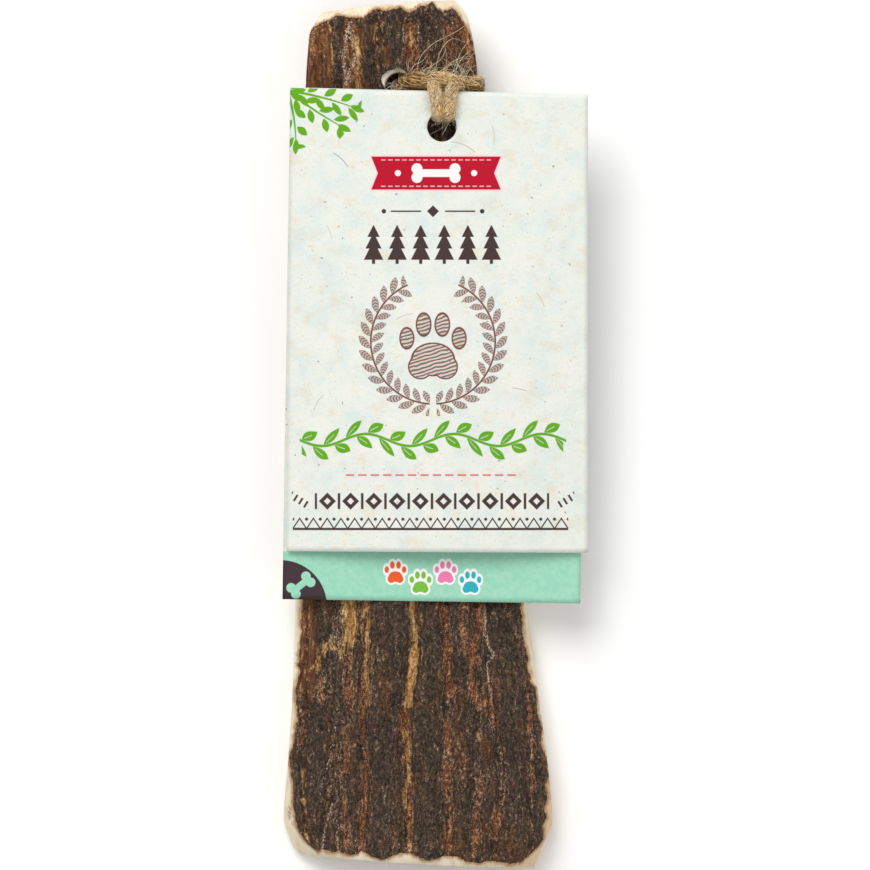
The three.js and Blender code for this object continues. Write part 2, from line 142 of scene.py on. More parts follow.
# Streaks of colour in the bark: half width, strength and line. Rust is red-brown, ochre is golden,
# worn is rubbed smooth and brown, and pale is broken bark in white and pink, partly its own pale
# colour and partly painted highlight.
RUST = [
    (4, 0.5, [(313, 36), (312, 60)]),
    (6, 0.85, [(410, 27), (412, 54), (414, 70), (415, 95)]),
    (6, 0.5, [(449, 32), (451, 48)]),
    (3, 0.6, [(466, 36), (473, 70), (474, 95)]),
    (4, 0.5, [(426, 55), (429, 72)]),
    (5, 0.5, [(445, 60), (446, 76)]),
    (4.2, 0.75, [(440, 596), (448, 632), (446, 668), (451, 692)]),
    (3.2, 0.75, [(467, 596), (462, 625), (464, 650)]),
    (3.6, 0.8, [(478, 596), (480, 622), (473, 650), (471, 680), (474, 702)]),
    (3, 0.6, [(408, 728), (406, 760), (409, 800), (410, 850)]),
    (4, 0.8, [(404, 712), (403, 735)]),
    (5, 0.8, [(447, 768), (446, 791)]),
    (4, 0.5, [(447, 724), (449, 748)]),
    (4, 0.6, [(452, 802), (447, 847)]),
    (2.5, 0.4, [(305, 610), (307, 650)]),
    (4, 0.5, [(365, 600), (367, 645), (366, 700)]),
    (3, 0.6, [(362, 714), (365, 750), (366, 772), (363, 800), (360, 850)]),
    (5, 0.45, [(484, 776), (478, 806), (474, 852)]),
    (2.5, 0.6, [(529, 700), (531, 742), (533, 769), (534, 792)]),
    (4, 0.45, [(318, 670), (322, 700)]),
    (3, 0.5, [(345, 735), (347, 772)]),
    (3, 0.45, [(300, 716), (303, 752)]),
    (4, 0.45, [(489, 700), (491, 722)]),
    (4, 0.5, [(497, 802), (494, 838)]),
    (3, 0.5, [(345, 800), (348, 846)]),
    (3, 0.5, [(465, 760), (462, 785)]),
    (6, 0.4, [(354, 600), (345, 660), (349, 700)]),
]
OCHRE = [
    (4, 0.4, [(410, 33), (411, 45)]),
    (4, 0.6, [(357, 40), (358, 66), (359, 92)]),
    (3, 0.4, [(331, 28), (333, 70)]),
    (4, 0.35, [(374, 28), (374, 42)]),
    (4.5, 0.8, [(411, 596), (415, 640)]),
    (5, 1.0, [(415, 650), (411, 680), (409, 706)]),
    (3, 0.6, [(406, 732), (409, 746), (408, 778)]),
    (2.6, 0.5, [(409, 806), (410, 853)]),
    (3, 0.6, [(408, 780), (402, 794), (404, 806)]),
    (8, 1.0, [(347, 596), (349, 614), (350, 636)]),
    (6, 0.62, [(317, 668), (320, 652), (329, 644), (343, 650)]),
    (4, 0.5, [(366, 600), (367, 640), (367, 696)]),
    (3, 0.5, [(479, 730), (476, 742)]),
    (2.5, 0.5, [(303, 770), (303, 800)]),
    (3, 0.4, [(458, 728), (461, 748)]),
    (3, 0.45, [(304, 800), (306, 846)]),
]
WORN = [
    (11, 1.0, [(318, 34), (314, 60), (312, 95)]),
    (3.5, 0.8, [(329, 30), (330, 60), (328, 95)]),
    (8, 0.9, [(349, 24), (348, 60), (349, 95)]),
    (4.5, 0.9, [(359, 34), (359, 60), (360, 95)]),
    (3.5, 0.7, [(373, 26), (374, 44)]),
    (4, 0.7, [(386, 50), (388, 62)]),
    (5, 0.8, [(460, 18), (464, 30), (470, 60)]),
    (4, 0.7, [(303, 596), (304, 640), (301, 690)]),
    (4, 0.7, [(311, 600), (312, 650), (310, 700)]),
    (5, 0.6, [(353, 690), (350, 712)]),
    (5, 0.5, [(470, 640), (474, 700)]),
]
PALE = [
    (3.4, 0.85, [(349, 22), (346, 40), (343, 58), (346, 84)]),
    (2.8, 0.75, [(350, 30), (354, 46), (353, 62), (350, 78)]),
    (1.6, 0.8, [(403, 28), (404, 50)]),
    (1.6, 0.8, [(419, 28), (417, 50)]),
    (1.3, 0.5, [(425, 17), (430, 40)]),
    (1.2, 0.4, [(333, 40), (332, 90)]),
    (8, 0.5, [(338, 608), (335, 640), (340, 660)]),
    (2.2, 0.5, [(362, 640), (360, 665), (363, 690)]),
    (2.1, 1.0, [(485, 606), (485, 636), (488, 643), (494, 656), (487, 663), (488, 675), (491, 700)]),
    (1.5, 0.7, [(490, 724), (500, 746), (501, 790), (502, 812)]),
    (1.9, 1.0, [(332, 804), (326, 824), (321, 850)]),
    (1.5, 0.8, [(336, 812), (338, 850)]),
    (2.0, 0.7, [(344, 786), (346, 806)]),
    (1.8, 0.6, [(359, 802), (355, 850)]),
    (2.2, 0.5, [(352, 702), (338, 714), (334, 738), (326, 764), (320, 792)]),
    (1.6, 0.7, [(531, 730), (532, 765)]),
    (5, 0.4, [(386, 815), (392, 845)]),
    (4, 0.35, [(400, 690), (398, 716)]),
]

# Cells across and along the bark's fine mesh. The sawn back has half as many of each.
COLUMNS = 150
ROWS = 430
WALL_RINGS = 6
CROWDED = 0.22


def line_at(line, y):
    """x of a smooth line through (x, y) points, at one y or at many."""
    xs, ys = np.array(line, float).T
    last = len(ys) - 1
    spots = np.arange(last + 1)
    before = np.maximum(spots - 1, 0)
    after = np.minimum(spots + 1, last)
    slopes = (xs[after] - xs[before]) / (ys[after] - ys[before])
    k = np.clip(np.searchsorted(ys, y) - 1, 0, last - 1)
    span = ys[k + 1] - ys[k]
    t = np.clip((y - ys[k]) / span, 0, 1)
    swing = slopes[k] * (t**3 - 2 * t**2 + t) + slopes[k + 1] * (t**3 - t**2)
    return xs[k] + (xs[k + 1] - xs[k]) * t * t * (3 - 2 * t) + swing * span


def crooked_at(line, y):
    """x of a line straight from each (x, y) point to the next."""
    xs, ys = np.array(line, float).T
    return np.interp(y, ys, xs)


def mix(a, b, t):
    return a + (b - a) * t


def rise(low, high, value):
    """0 below low and 1 above high, with a soft step between."""
    t = np.clip((value - low) / (high - low), 0, 1)
    return t * t * (3 - 2 * t)


def lumps(x, y, wide, long, seed):
    """Soft lumps from -1 to 1, of a size given across and along in picture units."""
    size = 97
    heights = np.random.default_rng(seed).uniform(-1, 1, (size, size))
    column = np.floor(x / wide).astype(int)
    row = np.floor(y / long).astype(int)
    s = rise(0, 1, x / wide - column)
    t = rise(0, 1, y / long - row)
    near = mix(heights[column % size, row % size], heights[(column + 1) % size, row % size], s)
    far = mix(
        heights[column % size, (row + 1) % size], heights[(column + 1) % size, (row + 1) % size], s
    )
    return mix(near, far, t)


def streak(x, y, half, line):
    """1 on a crooked line, falling away to nothing past its half width."""
    away = np.full(np.shape(x), 1e9)
    for (xa, ya), (xb, yb) in zip(line, line[1:]):
        reach = (xb - xa) ** 2 + (yb - ya) ** 2
        t = np.clip(((x - xa) * (xb - xa) + (y - ya) * (yb - ya)) / reach, 0, 1)
        away = np.minimum(away, np.hypot(x - mix(xa, xb, t), y - mix(ya, yb, t)))
    return np.exp(-((away / half) ** 2))


def streaks(x, y, listed):
    """All the streaks of one colour together, with ragged edges."""
    x = x + 1.6 * lumps(x, y, 5, 9, 31)
    y = y + 2.5 * lumps(x, y, 6, 12, 32)
    return 1 - np.prod([1 - strength * streak(x, y, half, line) for half, strength, line in listed], axis=0)


def lift(y):
    """How far the sawn back is lifted off the table by the bow of the antler, in millimetres."""
    return BOW * (np.maximum(0, BOW_START - y) * MM) ** 2


def crown(x, y):
    """Thickness of the slab in millimetres, before bark, furrows and sanding."""
    left = line_at(LEFT_EDGE, y)
    right = line_at(RIGHT_EDGE, y)
    across = np.clip((x - left) / (right - left), 0, 1)
    middle = mix(NARROW_THICKNESS, WIDE_THICKNESS, y / PICTURE_LENGTH)
    return middle - CROWN_DROP * np.abs(2 * across - 1) ** CROWN_POWER


def waves(x, y):
    """The broad waves of the bark, in millimetres."""
    return 0.22 * np.sin(y / 21 + 2.5 * np.sin(x / 23)) + 0.16 * np.sin(y / 9 + x / 13)


def furrow_depth(x, y):
    """How deep each point lies in a furrow, in millimetres."""
    depths = 0
    for half, depth, line in FURROWS:
        away = (x - line_at(line, y)) * MM / half
        depths = depths + depth * np.exp(-away * away)
    return depths


def furrowed(x, y):
    """The same for furrows that sway from side to side."""
    sway = 2.0 * lumps(x, y, 17, 44, 3) + 0.9 * lumps(x, y, 8, 14, 4)
    return furrow_depth(x + sway, y)


def bark(x, y):
    """Thickness of the slab with its bark on, before sanding."""
    ridges = 0.34 * lumps(x, y, 8, 60, 11) + 0.24 * lumps(x, y, 4.6, 30, 12)
    knobs = 0.26 * lumps(x, y, 5.2, 9, 13) + 0.17 * lumps(x, y, 2.8, 4.6, 14)
    splits = 0.35 * streaks(x, y, PALE) + 0.3 * streaks(x, y, RUST) + 0.2 * streaks(x, y, OCHRE)
    pressed = rise(PRESSED_FROM, PRESSED_FROM + 18, y) * rise(PRESSED_TO, PRESSED_TO - 14, y)
    relief = (ridges + knobs * (1 - 0.8 * streaks(x, y, WORN))) * (1 - 0.75 * pressed)
    return crown(x, y) + waves(x, y) + relief - furrowed(x, y) - splits


def steady(edge, at):
    """A ragged edge smoothed over a few millimetres."""
    return np.mean([edge(at + step) for step in (-30, -20, -10, 0, 10, 20, 30)], axis=0)


def end_line(x, left, right, bulge):
    """y of one end of the slab, from its left corner to its right one."""
    across = (x - left[0]) / (right[0] - left[0])
    return mix(left[1], right[1], across) + bulge * np.sin(np.pi * np.clip(across, 0, 1))


def top_end(x):
    return end_line(x, LEFT_EDGE[0], RIGHT_EDGE[0], TOP_BULGE)


def foot_end(x):
    return end_line(x, LEFT_EDGE[-1], RIGHT_EDGE[-1], FOOT_BULGE)


def top_band(x):
    return np.interp(x, *np.array(BARK_TOP).T) - top_end(x)


def foot_band(x):
    return foot_end(x) - np.interp(x, *np.array(BARK_FOOT).T)


def left_band(y):
    return crooked_at(BARK_LEFT, y) - line_at(LEFT_EDGE, y)


def right_band(y):
    return line_at(RIGHT_EDGE, y) - crooked_at(BARK_RIGHT, y)


def rims(x, y):
    """The four sanded rims: how far in each point is, each one's width there, and its slope."""
    return [
        (x - line_at(LEFT_EDGE, y), left_band, y, SIDE_SLOPE),
        (line_at(RIGHT_EDGE, y) - x, right_band, y, SIDE_SLOPE),
        (y - top_end(x), top_band, x, END_SLOPE),
        (foot_end(x) - y, foot_band, x, END_SLOPE),
    ]


def past_bark(x, y):
    """How far outside the bark's edge each point lies, in millimetres, and below 0 on the bark."""
    return MM * np.max([band(at) - inward for inward, band, at, _ in rims(x, y)], axis=0)


def front(x, y):
    """Height of the finished front over the table, in millimetres, its rims sanded down."""
    smooth = crown(x, y)
    inside = -past_bark(x, y)
    skin = mix(smooth, bark(x, y), 0.3 + 0.7 * rise(0, 2.2, inside))
    height = skin - BARK_STEP * (1 - rise(0, 0.55, inside))
    for inward, band, at, slope in rims(x, y):
        kept = np.clip(np.maximum(inward, 0) / np.maximum(band(at), 0.3), 0, 1)
        drop = slope * np.maximum(steady(band, at), 0) * MM
        foot = np.maximum(smooth - drop, LOWEST_FOOT)
        height = np.where(kept < 1, np.minimum(height, mix(foot, smooth - BARK_STEP, kept)), height)
    return lift(y) + height


def on_slab(u, v, level):
    """Picture x and y and height in millimetres for a place on the slab's unwrapped surface.

    u runs across and v along it. Level 0 is the front, 1 the foot of its walls and 2 the sawn back.
    """
    inset = np.clip(level - 1, 0, 1) * BACK_CHAMFER / MM
    y_left = mix(LEFT_EDGE[0][1] + inset, LEFT_EDGE[-1][1] - inset, v)
    y_right = mix(RIGHT_EDGE[0][1] + inset, RIGHT_EDGE[-1][1] - inset, v)
    x_left = line_at(LEFT_EDGE, y_left) + inset
    x_right = line_at(RIGHT_EDGE, y_right) - inset
    x = mix(x_left, x_right, u)
    bulge = mix(TOP_BULGE, FOOT_BULGE, v) * np.sin(np.pi * u)
    y = mix(y_left, y_right, u) + bulge * np.abs(2 * v - 1) ** 6
    wall = mix(front(x, y), lift(y) + BACK_CHAMFER, np.clip(level, 0, 1))
    return x, y, wall - np.clip(level - 1, 0, 1) * BACK_CHAMFER


def linked(name, shape):
    """A new object in the scene for a mesh or a curve."""
    piece = bpy.data.objects.new(name, shape)
    bpy.context.scene.collection.objects.link(piece)
    return piece


def corners_of(mesh):
    spots = np.empty(len(mesh.vertices) * 3)
    mesh.vertices.foreach_get("co", spots)
    return spots.reshape(-1, 3)


def in_metres(places):
    """Places in metres, from rows of picture x and y and height in millimetres."""
    x, y, z = np.array(places, float).T
    return np.stack([(x - MIDDLE_X) * MM, (MIDDLE_Y - y) * MM, z], axis=-1) / 1000


def put_corners(mesh, x, y, z):
    """Moves a mesh's corners to picture x and y and a height in millimetres."""
    mesh.vertices.foreach_set("co", in_metres(np.column_stack([x, y, z])).ravel())
    mesh.update()


def picture_of(spots):
    """Picture x and y and height in millimetres of places in metres."""
    x, y, z = np.asarray(spots).T * 1000
    return x / MM + MIDDLE_X, MIDDLE_Y - y / MM, z


def rim_of(shape):
    return [edge for edge in shape.edges if edge.is_boundary]


def wrapped_slab():
    """The slab's surface as one closed sheet of square cells, unwrapped: x across, y along, z level."""
    slab = bmesh.new()
    bmesh.ops.create_grid(slab, x_segments=COLUMNS, y_segments=ROWS, size=0.5)
    for ring in range(WALL_RINGS):
        walls = bmesh.ops.extrude_edge_only(slab, edges=rim_of(slab))
        for corner in walls["geom"]:
            if isinstance(corner, bmesh.types.BMVert):
                corner.co.z = -(ring + 1) / WALL_RINGS
    fine_rim = rim_of(slab)
    before = set(slab.faces)
    bmesh.ops.create_grid(slab, x_segments=COLUMNS // 2, y_segments=ROWS // 2, size=0.5)
    sawn = [face for face in slab.faces if face not in before]
    for corner in {corner for face in sawn for corner in face.verts}:
        corner.co.z = -2
    coarse_rim = [edge for edge in rim_of(slab) if edge not in set(fine_rim)]
    bmesh.ops.bridge_loops(slab, edges=fine_rim + coarse_rim)
    bmesh.ops.recalc_face_normals(slab, faces=slab.faces)
    return slab


def mesh_of(name, shape):
    mesh = bpy.data.meshes.new(name)
    shape.to_mesh(mesh)
    shape.free()
    mesh.shade_smooth()
    return mesh


def final_mesh(piece):
    """A new mesh of a piece with its modifiers or its bevel applied."""
    bpy.context.view_layer.update()
    return bpy.data.meshes.new_from_object(piece.evaluated_get(bpy.context.evaluated_depsgraph_get()))


def cut_away(piece, tool):
    """Cuts the tool's shape out of a piece, and throws the tool away."""
    cut = piece.modifiers.new("cut", "BOOLEAN")
    cut.operation = "DIFFERENCE"
    cut.solver = "EXACT"
    cut.object = tool
    whole = piece.data
    piece.data = final_mesh(piece)
    piece.modifiers.clear()
    bpy.data.meshes.remove(whole)
    bpy.data.objects.remove(tool)


def round_cutter(name, x, y, profile, sides):
    """A cutter turned about an upright line, from (radius, height) points in millimetres."""
    cutter = bmesh.new()
    rods = [cutter.verts.new((radius, 0, height)) for radius, height in profile]
    for lower, upper in zip(rods, rods[1:]):
        cutter.edges.new((lower, upper))
    bmesh.ops.spin(
        cutter, geom=cutter.verts[:] + cutter.edges[:], cent=(0, 0, 0), axis=(0, 0, 1),
        angle=2 * math.pi, steps=sides, use_merge=True,
    )
    bmesh.ops.remove_doubles(cutter, verts=cutter.verts, dist=1e-5)
    bmesh.ops.holes_fill(cutter, edges=rim_of(cutter), sides=0)
    bmesh.ops.recalc_face_normals(cutter, faces=cutter.faces)
    bmesh.ops.translate(cutter, verts=cutter.verts, vec=((x - MIDDLE_X) * MM, (MIDDLE_Y - y) * MM, 0))
    bmesh.ops.scale(cutter, verts=cutter.verts, vec=(0.001, 0.001, 0.001))
    return linked(name, mesh_of(name, cutter))


def crowded(share):
    """Shares from 0 to 1 that lie closer together near both ends, where the rims are."""
    return share - CROWDED * np.sin(2 * np.pi * share) / (2 * np.pi)


slab_mesh = mesh_of("antler_slab", wrapped_slab())
across, along, level = corners_of(slab_mesh).T
put_corners(slab_mesh, *on_slab(crowded(across + 0.5), crowded(0.5 - along), -level))
antler = linked("antler_slab", slab_mesh)

drill_lip = float(front(DRILL_X - 14, DRILL_Y))
chip_floor = drill_lip - DRILL_CHIP_DEPTH
drill = round_cutter("drill", DRILL_X, DRILL_Y, [
    (DRILL_WAIST, -1), (DRILL_WAIST, drill_lip - 4.5), (DRILL_RADIUS - 0.2, drill_lip - 2.4),
    (DRILL_RADIUS, drill_lip - 1.3), (DRILL_RADIUS + 0.05, chip_floor),
    (DRILL_RADIUS + 0.22, chip_floor + 0.12), (DRILL_CHIPPED - 0.14, chip_floor + 0.2),
    (DRILL_CHIPPED, drill_lip - 0.2), (DRILL_CHIPPED + 0.1, drill_lip + 2.5),
], 96)

# The lip of the hole is torn out of round.
torn = corners_of(drill.data)
centre = in_metres([(DRILL_X, DRILL_Y, 0)])[0, :2]
turn = np.arctan2(torn[:, 1] - centre[1], torn[:, 0] - centre[0])
layer = torn[:, 2] * 1700
chip = 0.15 * np.cos(turn - 3.0) + 0.03 * np.sin(5 * turn + 1) + 0.02 * np.sin(11 * turn + layer)
chip = chip + 0.016 * np.sin(23 * turn + 2 * layer) + 0.012 * np.sin(37 * turn + 1)
chip = chip * rise(chip_floor, chip_floor + 0.25, torn[:, 2] * 1000)
torn[:, :2] = centre + (torn[:, :2] - centre) * (1 + chip)[:, None]
drill.data.vertices.foreach_set("co", torn.ravel())
cut_away(antler, drill)


def stamp(mesh, name, values):
    """Writes one number on every corner of a mesh, for its material to read."""
    layer = mesh.attributes.new(name, "FLOAT", "POINT")
    layer.data.foreach_set("value", np.asarray(values, np.float32))


slab_x, slab_y, slab_z = picture_of(corners_of(antler.data))
under_front = front(slab_x, slab_y) - slab_z
ragged = past_bark(slab_x, slab_y) + 0.10 * lumps(slab_x, slab_y, 2.6, 2.6, 42)
ragged = ragged + 0.2 * lumps(slab_x, slab_y, 5.5, 5.5, 43)
to_side = np.minimum(slab_x - line_at(LEFT_EDGE, slab_y), line_at(RIGHT_EDGE, slab_y) - slab_x) * MM
marrow = np.minimum(under_front, to_side) + 0.5 * lumps(slab_x, slab_y, 11, 30, 41)
from_drill = np.hypot(slab_x - DRILL_X, slab_y - DRILL_Y) * MM
stamp(antler.data, "bared", np.maximum(ragged, under_front - 0.35))
stamp(antler.data, "drilled", rise(DRILL_RADIUS + 0.16, DRILL_RADIUS + 0.03, from_drill))
chip_depth = rise(0.12, 0.3, under_front) * rise(1.6, 1.2, under_front)
stamp(antler.data, "chipped", rise(3.7, 3.4, from_drill) * chip_depth)
stamp(antler.data, "furrow", furrowed(slab_x, slab_y))
for hue, listed in (("rust", RUST), ("ochre", OCHRE), ("pale", PALE), ("worn", WORN)):
    stamp(antler.data, hue, streaks(slab_x, slab_y, listed))
stamp(antler.data, "marrow", rise(2.9, 4.1, marrow))


def ink(red, green, blue):
    """A colour given as 0 to 255, as light."""
    light = [c / 255 / 12.92 if c < 11 else ((c / 255 + 0.055) / 1.055) ** 2.4 for c in (red, green, blue)]
    return (*light, 1)


class Wire:
    """One output of a material's nodes, which can be added, multiplied and compared like a number."""

    def __init__(self, finish, socket):
        self.finish = finish
        self.socket = socket

    def math(self, operation, *others, clamp=False):
        settings = {"operation": operation, "use_clamp": clamp}
        return self.finish.node("Math", settings, dict(enumerate((self, *others))))

    def __add__(self, other):
        return self.math("ADD", other)

    def __sub__(self, other):
        return self.math("SUBTRACT", other)

    def __rsub__(self, other):
        return self.finish.node("Math", {"operation": "SUBTRACT"}, {0: other, 1: self})

    def __mul__(self, other):
        return self.math("MULTIPLY", other)

    def __truediv__(self, other):
        return self.math("DIVIDE", other)

    __radd__ = __add__
    __rmul__ = __mul__

    def __abs__(self):
        return self.math("ABSOLUTE")

    def least(self, other):
        return self.math("MINIMUM", other)

    def most(self, other):
        return self.math("MAXIMUM", other)

    def clamped(self):
        return self.math("ADD", 0, clamp=True)

    def scaled(self, x, y=None, z=None):
        """A place stretched by one share, or by one for each direction."""
        stretch = (x, x, x) if y is None else (x, y, z)
        return self.finish.node("VectorMath", {"operation": "MULTIPLY"}, {0: self, 1: stretch})

    def rising(self, low, high):
        """0 where the wire is below low, 1 where it is above high."""
        return self.finish.node(
            "MapRange", {"interpolation_type": "SMOOTHSTEP"}, {0: self, 1: low, 2: high}
        )


class Finish:
    """A material being made up: its nodes, and the few that every finish here needs."""

    def __init__(self, name):
        self.material = bpy.data.materials.new(name)
        self.material.use_nodes = True
        self.tree = self.material.node_tree
        self.tree.nodes.clear()
        self.place = self.node("TexCoord", out="Object").scaled(1000)

    def node(self, kind, settings=None, values=None, out=0):
        """Any node, by its type: its settings first, then values or wires for its sockets."""
        made = self.tree.nodes.new("ShaderNode" + kind)
        for name, value in (settings or {}).items():
            if name == "stops":
                stops = made.color_ramp.elements
                while len(stops) < len(value):
                    stops.new(1)
                for stop, (position, colour) in zip(stops, value):
                    stop.position = position
                    stop.color = colour
            elif name == "stepped":
                made.color_ramp.interpolation = "CONSTANT"
            else:
                setattr(made, name, value)
        for name, value in (values or {}).items():
            if isinstance(value, Wire):
                self.tree.links.new(value.socket, made.inputs[name])
            else:
                made.inputs[name].default_value = value
        return Wire(self, made.outputs[out]) if made.outputs else None

    def noise(self, place, scale, detail=2, roughness=0.5):
        values = {"Vector": place, "Scale": scale, "Detail": detail, "Roughness": roughness}
        return self.node("TexNoise", None, values)

    def axis(self, number):
        """x, y or z of each place, in millimetres."""
        return self.node("SeparateXYZ", None, {0: self.place}, number)

    def mark(self, name):
        """A number stamped on the mesh."""
        return self.node("Attribute", {"attribute_name": name}, None, "Fac")

    def blend(self, share, first, second):
        return self.node("Mix", {"data_type": "RGBA"}, {0: share, 6: first, 7: second}, 2)

    def ramp(self, share, stops, stepped=False):
        """Colours along a number, from stops of (position, red, green, blue)."""
        settings = {"stops": [(position, ink(*colour)) for position, *colour in stops]}
        if stepped:
            settings["stepped"] = True
        return self.node("ValToRGB", settings, {0: share})

    def done(self, colour, roughness, height=None, depth=0, **constants):
        """Ends the material in a surface of that colour, roughness and relief in metres."""
        values = {"Base Color": colour, "Roughness": roughness, **constants}
        if height is not None:
            bump = {"Height": height, "Distance": depth, "Strength": 1}
            values["Normal"] = self.node("Bump", None, bump)
        surface = self.node("BsdfPrincipled", None, values)
        self.node("OutputMaterial", None, {"Surface": surface})
        return self.material


def antler_finish():
    """Mossy dark bark, its rust, ochre and pale streaks, the sanded bone and the spongy marrow."""
    finish = Finish("antler")
    sway = finish.node("CombineXYZ", None, {0: (finish.noise(finish.place, 0.32, 2) - 0.5) * 1.8})
    swayed = finish.node("VectorMath", {"operation": "ADD"}, {0: finish.place, 1: sway})
    wool = finish.noise(swayed.scaled(1, 0.62, 1), 2.3, 3, 0.65)
    grit = finish.noise(finish.place, 5.6, 2, 0.6)
    band = finish.noise(swayed.scaled(1, 0.10, 1), 0.9, 3, 0.6)
    thread = finish.noise(swayed.scaled(1, 0.15, 1), 1.7, 3, 0.62)
    patch = finish.noise(finish.place.scaled(1, 0.45, 1), 0.24, 3, 0.6)
    furrow = finish.mark("furrow")

    # The bark: brown-black wool with a plum or a browner cast in patches.
    tone = wool * 0.44 + grit * 0.34 + thread * 0.22
    dark = finish.ramp(tone, [
        (0.36, 24, 19, 17), (0.45, 52, 43, 34), (0.53, 82, 68, 53),
        (0.61, 118, 100, 78), (0.70, 172, 152, 126),
    ])
    plum = finish.ramp(tone, [
        (0.36, 26, 17, 18), (0.46, 62, 44, 42), (0.56, 98, 74, 68), (0.68, 158, 132, 122),
    ])
    brown = finish.ramp(tone, [
        (0.36, 38, 23, 15), (0.46, 84, 54, 34), (0.56, 128, 88, 56),
        (0.67, 190, 148, 106),
    ])
    cast = finish.noise(finish.place.scaled(1, 0.5, 1), 0.6, 3, 0.65)
    base = finish.blend(cast.rising(0.47, 0.62) * 0.8, dark, plum)
    browned = patch.rising(0.50, 0.64) * 0.55 + band.rising(0.50, 0.68) * 0.45
    base = finish.blend(browned.clamped(), base, brown)

    # Where the bark is worn, smooth brown fibres lie along it.
    worn = (finish.mark("worn") * 1.3 + (wool - 0.5) * 1.2).rising(0.25, 0.85)
    fibre = thread * 0.55 + band * 0.25 + grit * 0.2
    rubbed = finish.ramp(fibre, [
        (0.38, 60, 34, 22), (0.46, 98, 58, 33), (0.54, 124, 80, 42), (0.66, 170, 122, 72),
    ])
    base = finish.blend(worn * 0.9, base, rubbed)

    # Rust gathers in the furrows, and in thin threads between them.
    speckle = thread * 0.5 + wool * 0.28 + grit * 0.22
    rust = finish.ramp(tone, [
        (0.38, 38, 20, 16), (0.45, 88, 46, 30), (0.52, 138, 80, 50),
        (0.62, 226, 176, 136),
    ])
    orange = finish.ramp(tone, [
        (0.38, 58, 30, 14), (0.46, 126, 72, 32), (0.54, 184, 118, 60),
        (0.64, 236, 190, 132),
    ])
    rust = finish.blend((cast * 0.5 + speckle * 0.5).rising(0.48, 0.60) * 0.8, rust, orange)
    vein = speckle + finish.mark("rust") * 0.32 + furrow * 0.06
    rusted = vein.rising(0.54, 0.80)
    base = finish.blend(rusted * 0.86, base, rust)

    # Ochre lies in the deepest cracks, more orange in some places than in others.
    ochre = finish.ramp(tone, [
        (0.36, 92, 56, 28), (0.44, 170, 122, 66), (0.53, 230, 184, 116),
        (0.66, 254, 232, 184),
    ])
    amber = finish.ramp(tone, [
        (0.38, 96, 54, 26), (0.50, 180, 124, 64), (0.66, 240, 194, 126),
    ])
    ochre = finish.blend(band.rising(0.46, 0.60), ochre, amber)
    gilded = (speckle + finish.mark("ochre") * 0.42 + furrow * 0.03).rising(0.60, 0.88)
    base = finish.blend(gilded * 0.95, base, ochre)

    # Broken bark shows pink and white, partly its own pale colour and partly painted highlight.
    # Painted glints lie most of all along the borders of the rust, and painted sparkles over the rest.
    pale = finish.ramp(grit, [
        (0.36, 122, 88, 68), (0.48, 186, 154, 130), (0.60, 246, 232, 214),
    ])
    sharp = finish.noise(swayed.scaled(1, 0.55, 1), 4.2, 2, 0.6)
    broken_and_highlit = (sharp + finish.mark("pale") * 0.34).rising(0.68, 0.86)
    border = 1 - abs(vein - 0.63).rising(0.02, 0.10)
    painted_glints = sharp.rising(0.57, 0.68) * border * 0.6
    # sparks are painted highlight specks strewn over the bark.
    sparks = sharp.rising(0.66, 0.76) * 0.25
    base = finish.blend(broken_and_highlit.most(painted_glints).most(sparks), base, pale)

    # The sanded rims: singed brown next to the bark, then cream bone with faint stains.
    depth = finish.mark("bared") + (wool - 0.5) * 0.5 + (grit - 0.5) * 0.3
    stain = finish.noise(finish.place.scaled(1, 0.4, 1), 0.5, 3, 0.6)
    bone = finish.ramp(stain, [
        (0.3, 218, 199, 163), (0.5, 235, 221, 191), (0.7, 243, 233, 210),
    ])
    to_right = finish.axis(0).rising(6, 20)
    to_foot = finish.axis(1).rising(-50, -62)
    bone = finish.blend(to_right * to_foot * stain, bone, ink(216, 176, 124))
    pit = finish.node("VectorMath", {"operation": "DISTANCE"}, {0: finish.place, 1: (-22.2, -63.7, 5)}, 1)
    bone = finish.blend((1 - pit.rising(0.9, 1.6)) * wool.rising(0.42, 0.5) * 0.7, bone, ink(120, 104, 76))
    singed = finish.ramp(tone, [(0.38, 116, 66, 32), (0.62, 214, 162, 108)])
    rim = finish.blend(depth.rising(0.1, 0.9), singed, bone)

    # The marrow: a brown sponge, open where the saw went through it. Its open pores are dark brown,
    # partly the marrow's own colour and partly painted shade in the holes.
    pores = finish.node("TexVoronoi", {"feature": "F1"}, {
        "Vector": finish.place.scaled(1, 0.6, 1), "Scale": 1.5, "Randomness": 1,
    })
    open_pore = (wool * 1.5 - 0.4 - pores).rising(-0.06, 0.12).most(grit.rising(0.6, 0.68) * 0.6)
    sponge = finish.ramp(stain, [(0.35, 168, 138, 102), (0.65, 212, 190, 154)])
    sponge = finish.blend(open_pore * 0.8, sponge, ink(92, 66, 46))
    spongy = finish.mark("marrow")
    rim = finish.blend(spongy, rim, sponge)
    chipped = finish.ramp(wool, [(0.36, 222, 208, 180), (0.54, 255, 252, 242)])
    rim = finish.blend(finish.mark("chipped"), rim, chipped)
    # The drilled wall: dark brown, partly bone burnt by the drill and partly painted shade down the hole.
    burnt_and_shaded_bore = finish.ramp(grit, [(0.4, 62, 44, 30), (0.6, 112, 86, 60)])
    rim = finish.blend(finish.mark("drilled"), rim, burnt_and_shaded_bore)

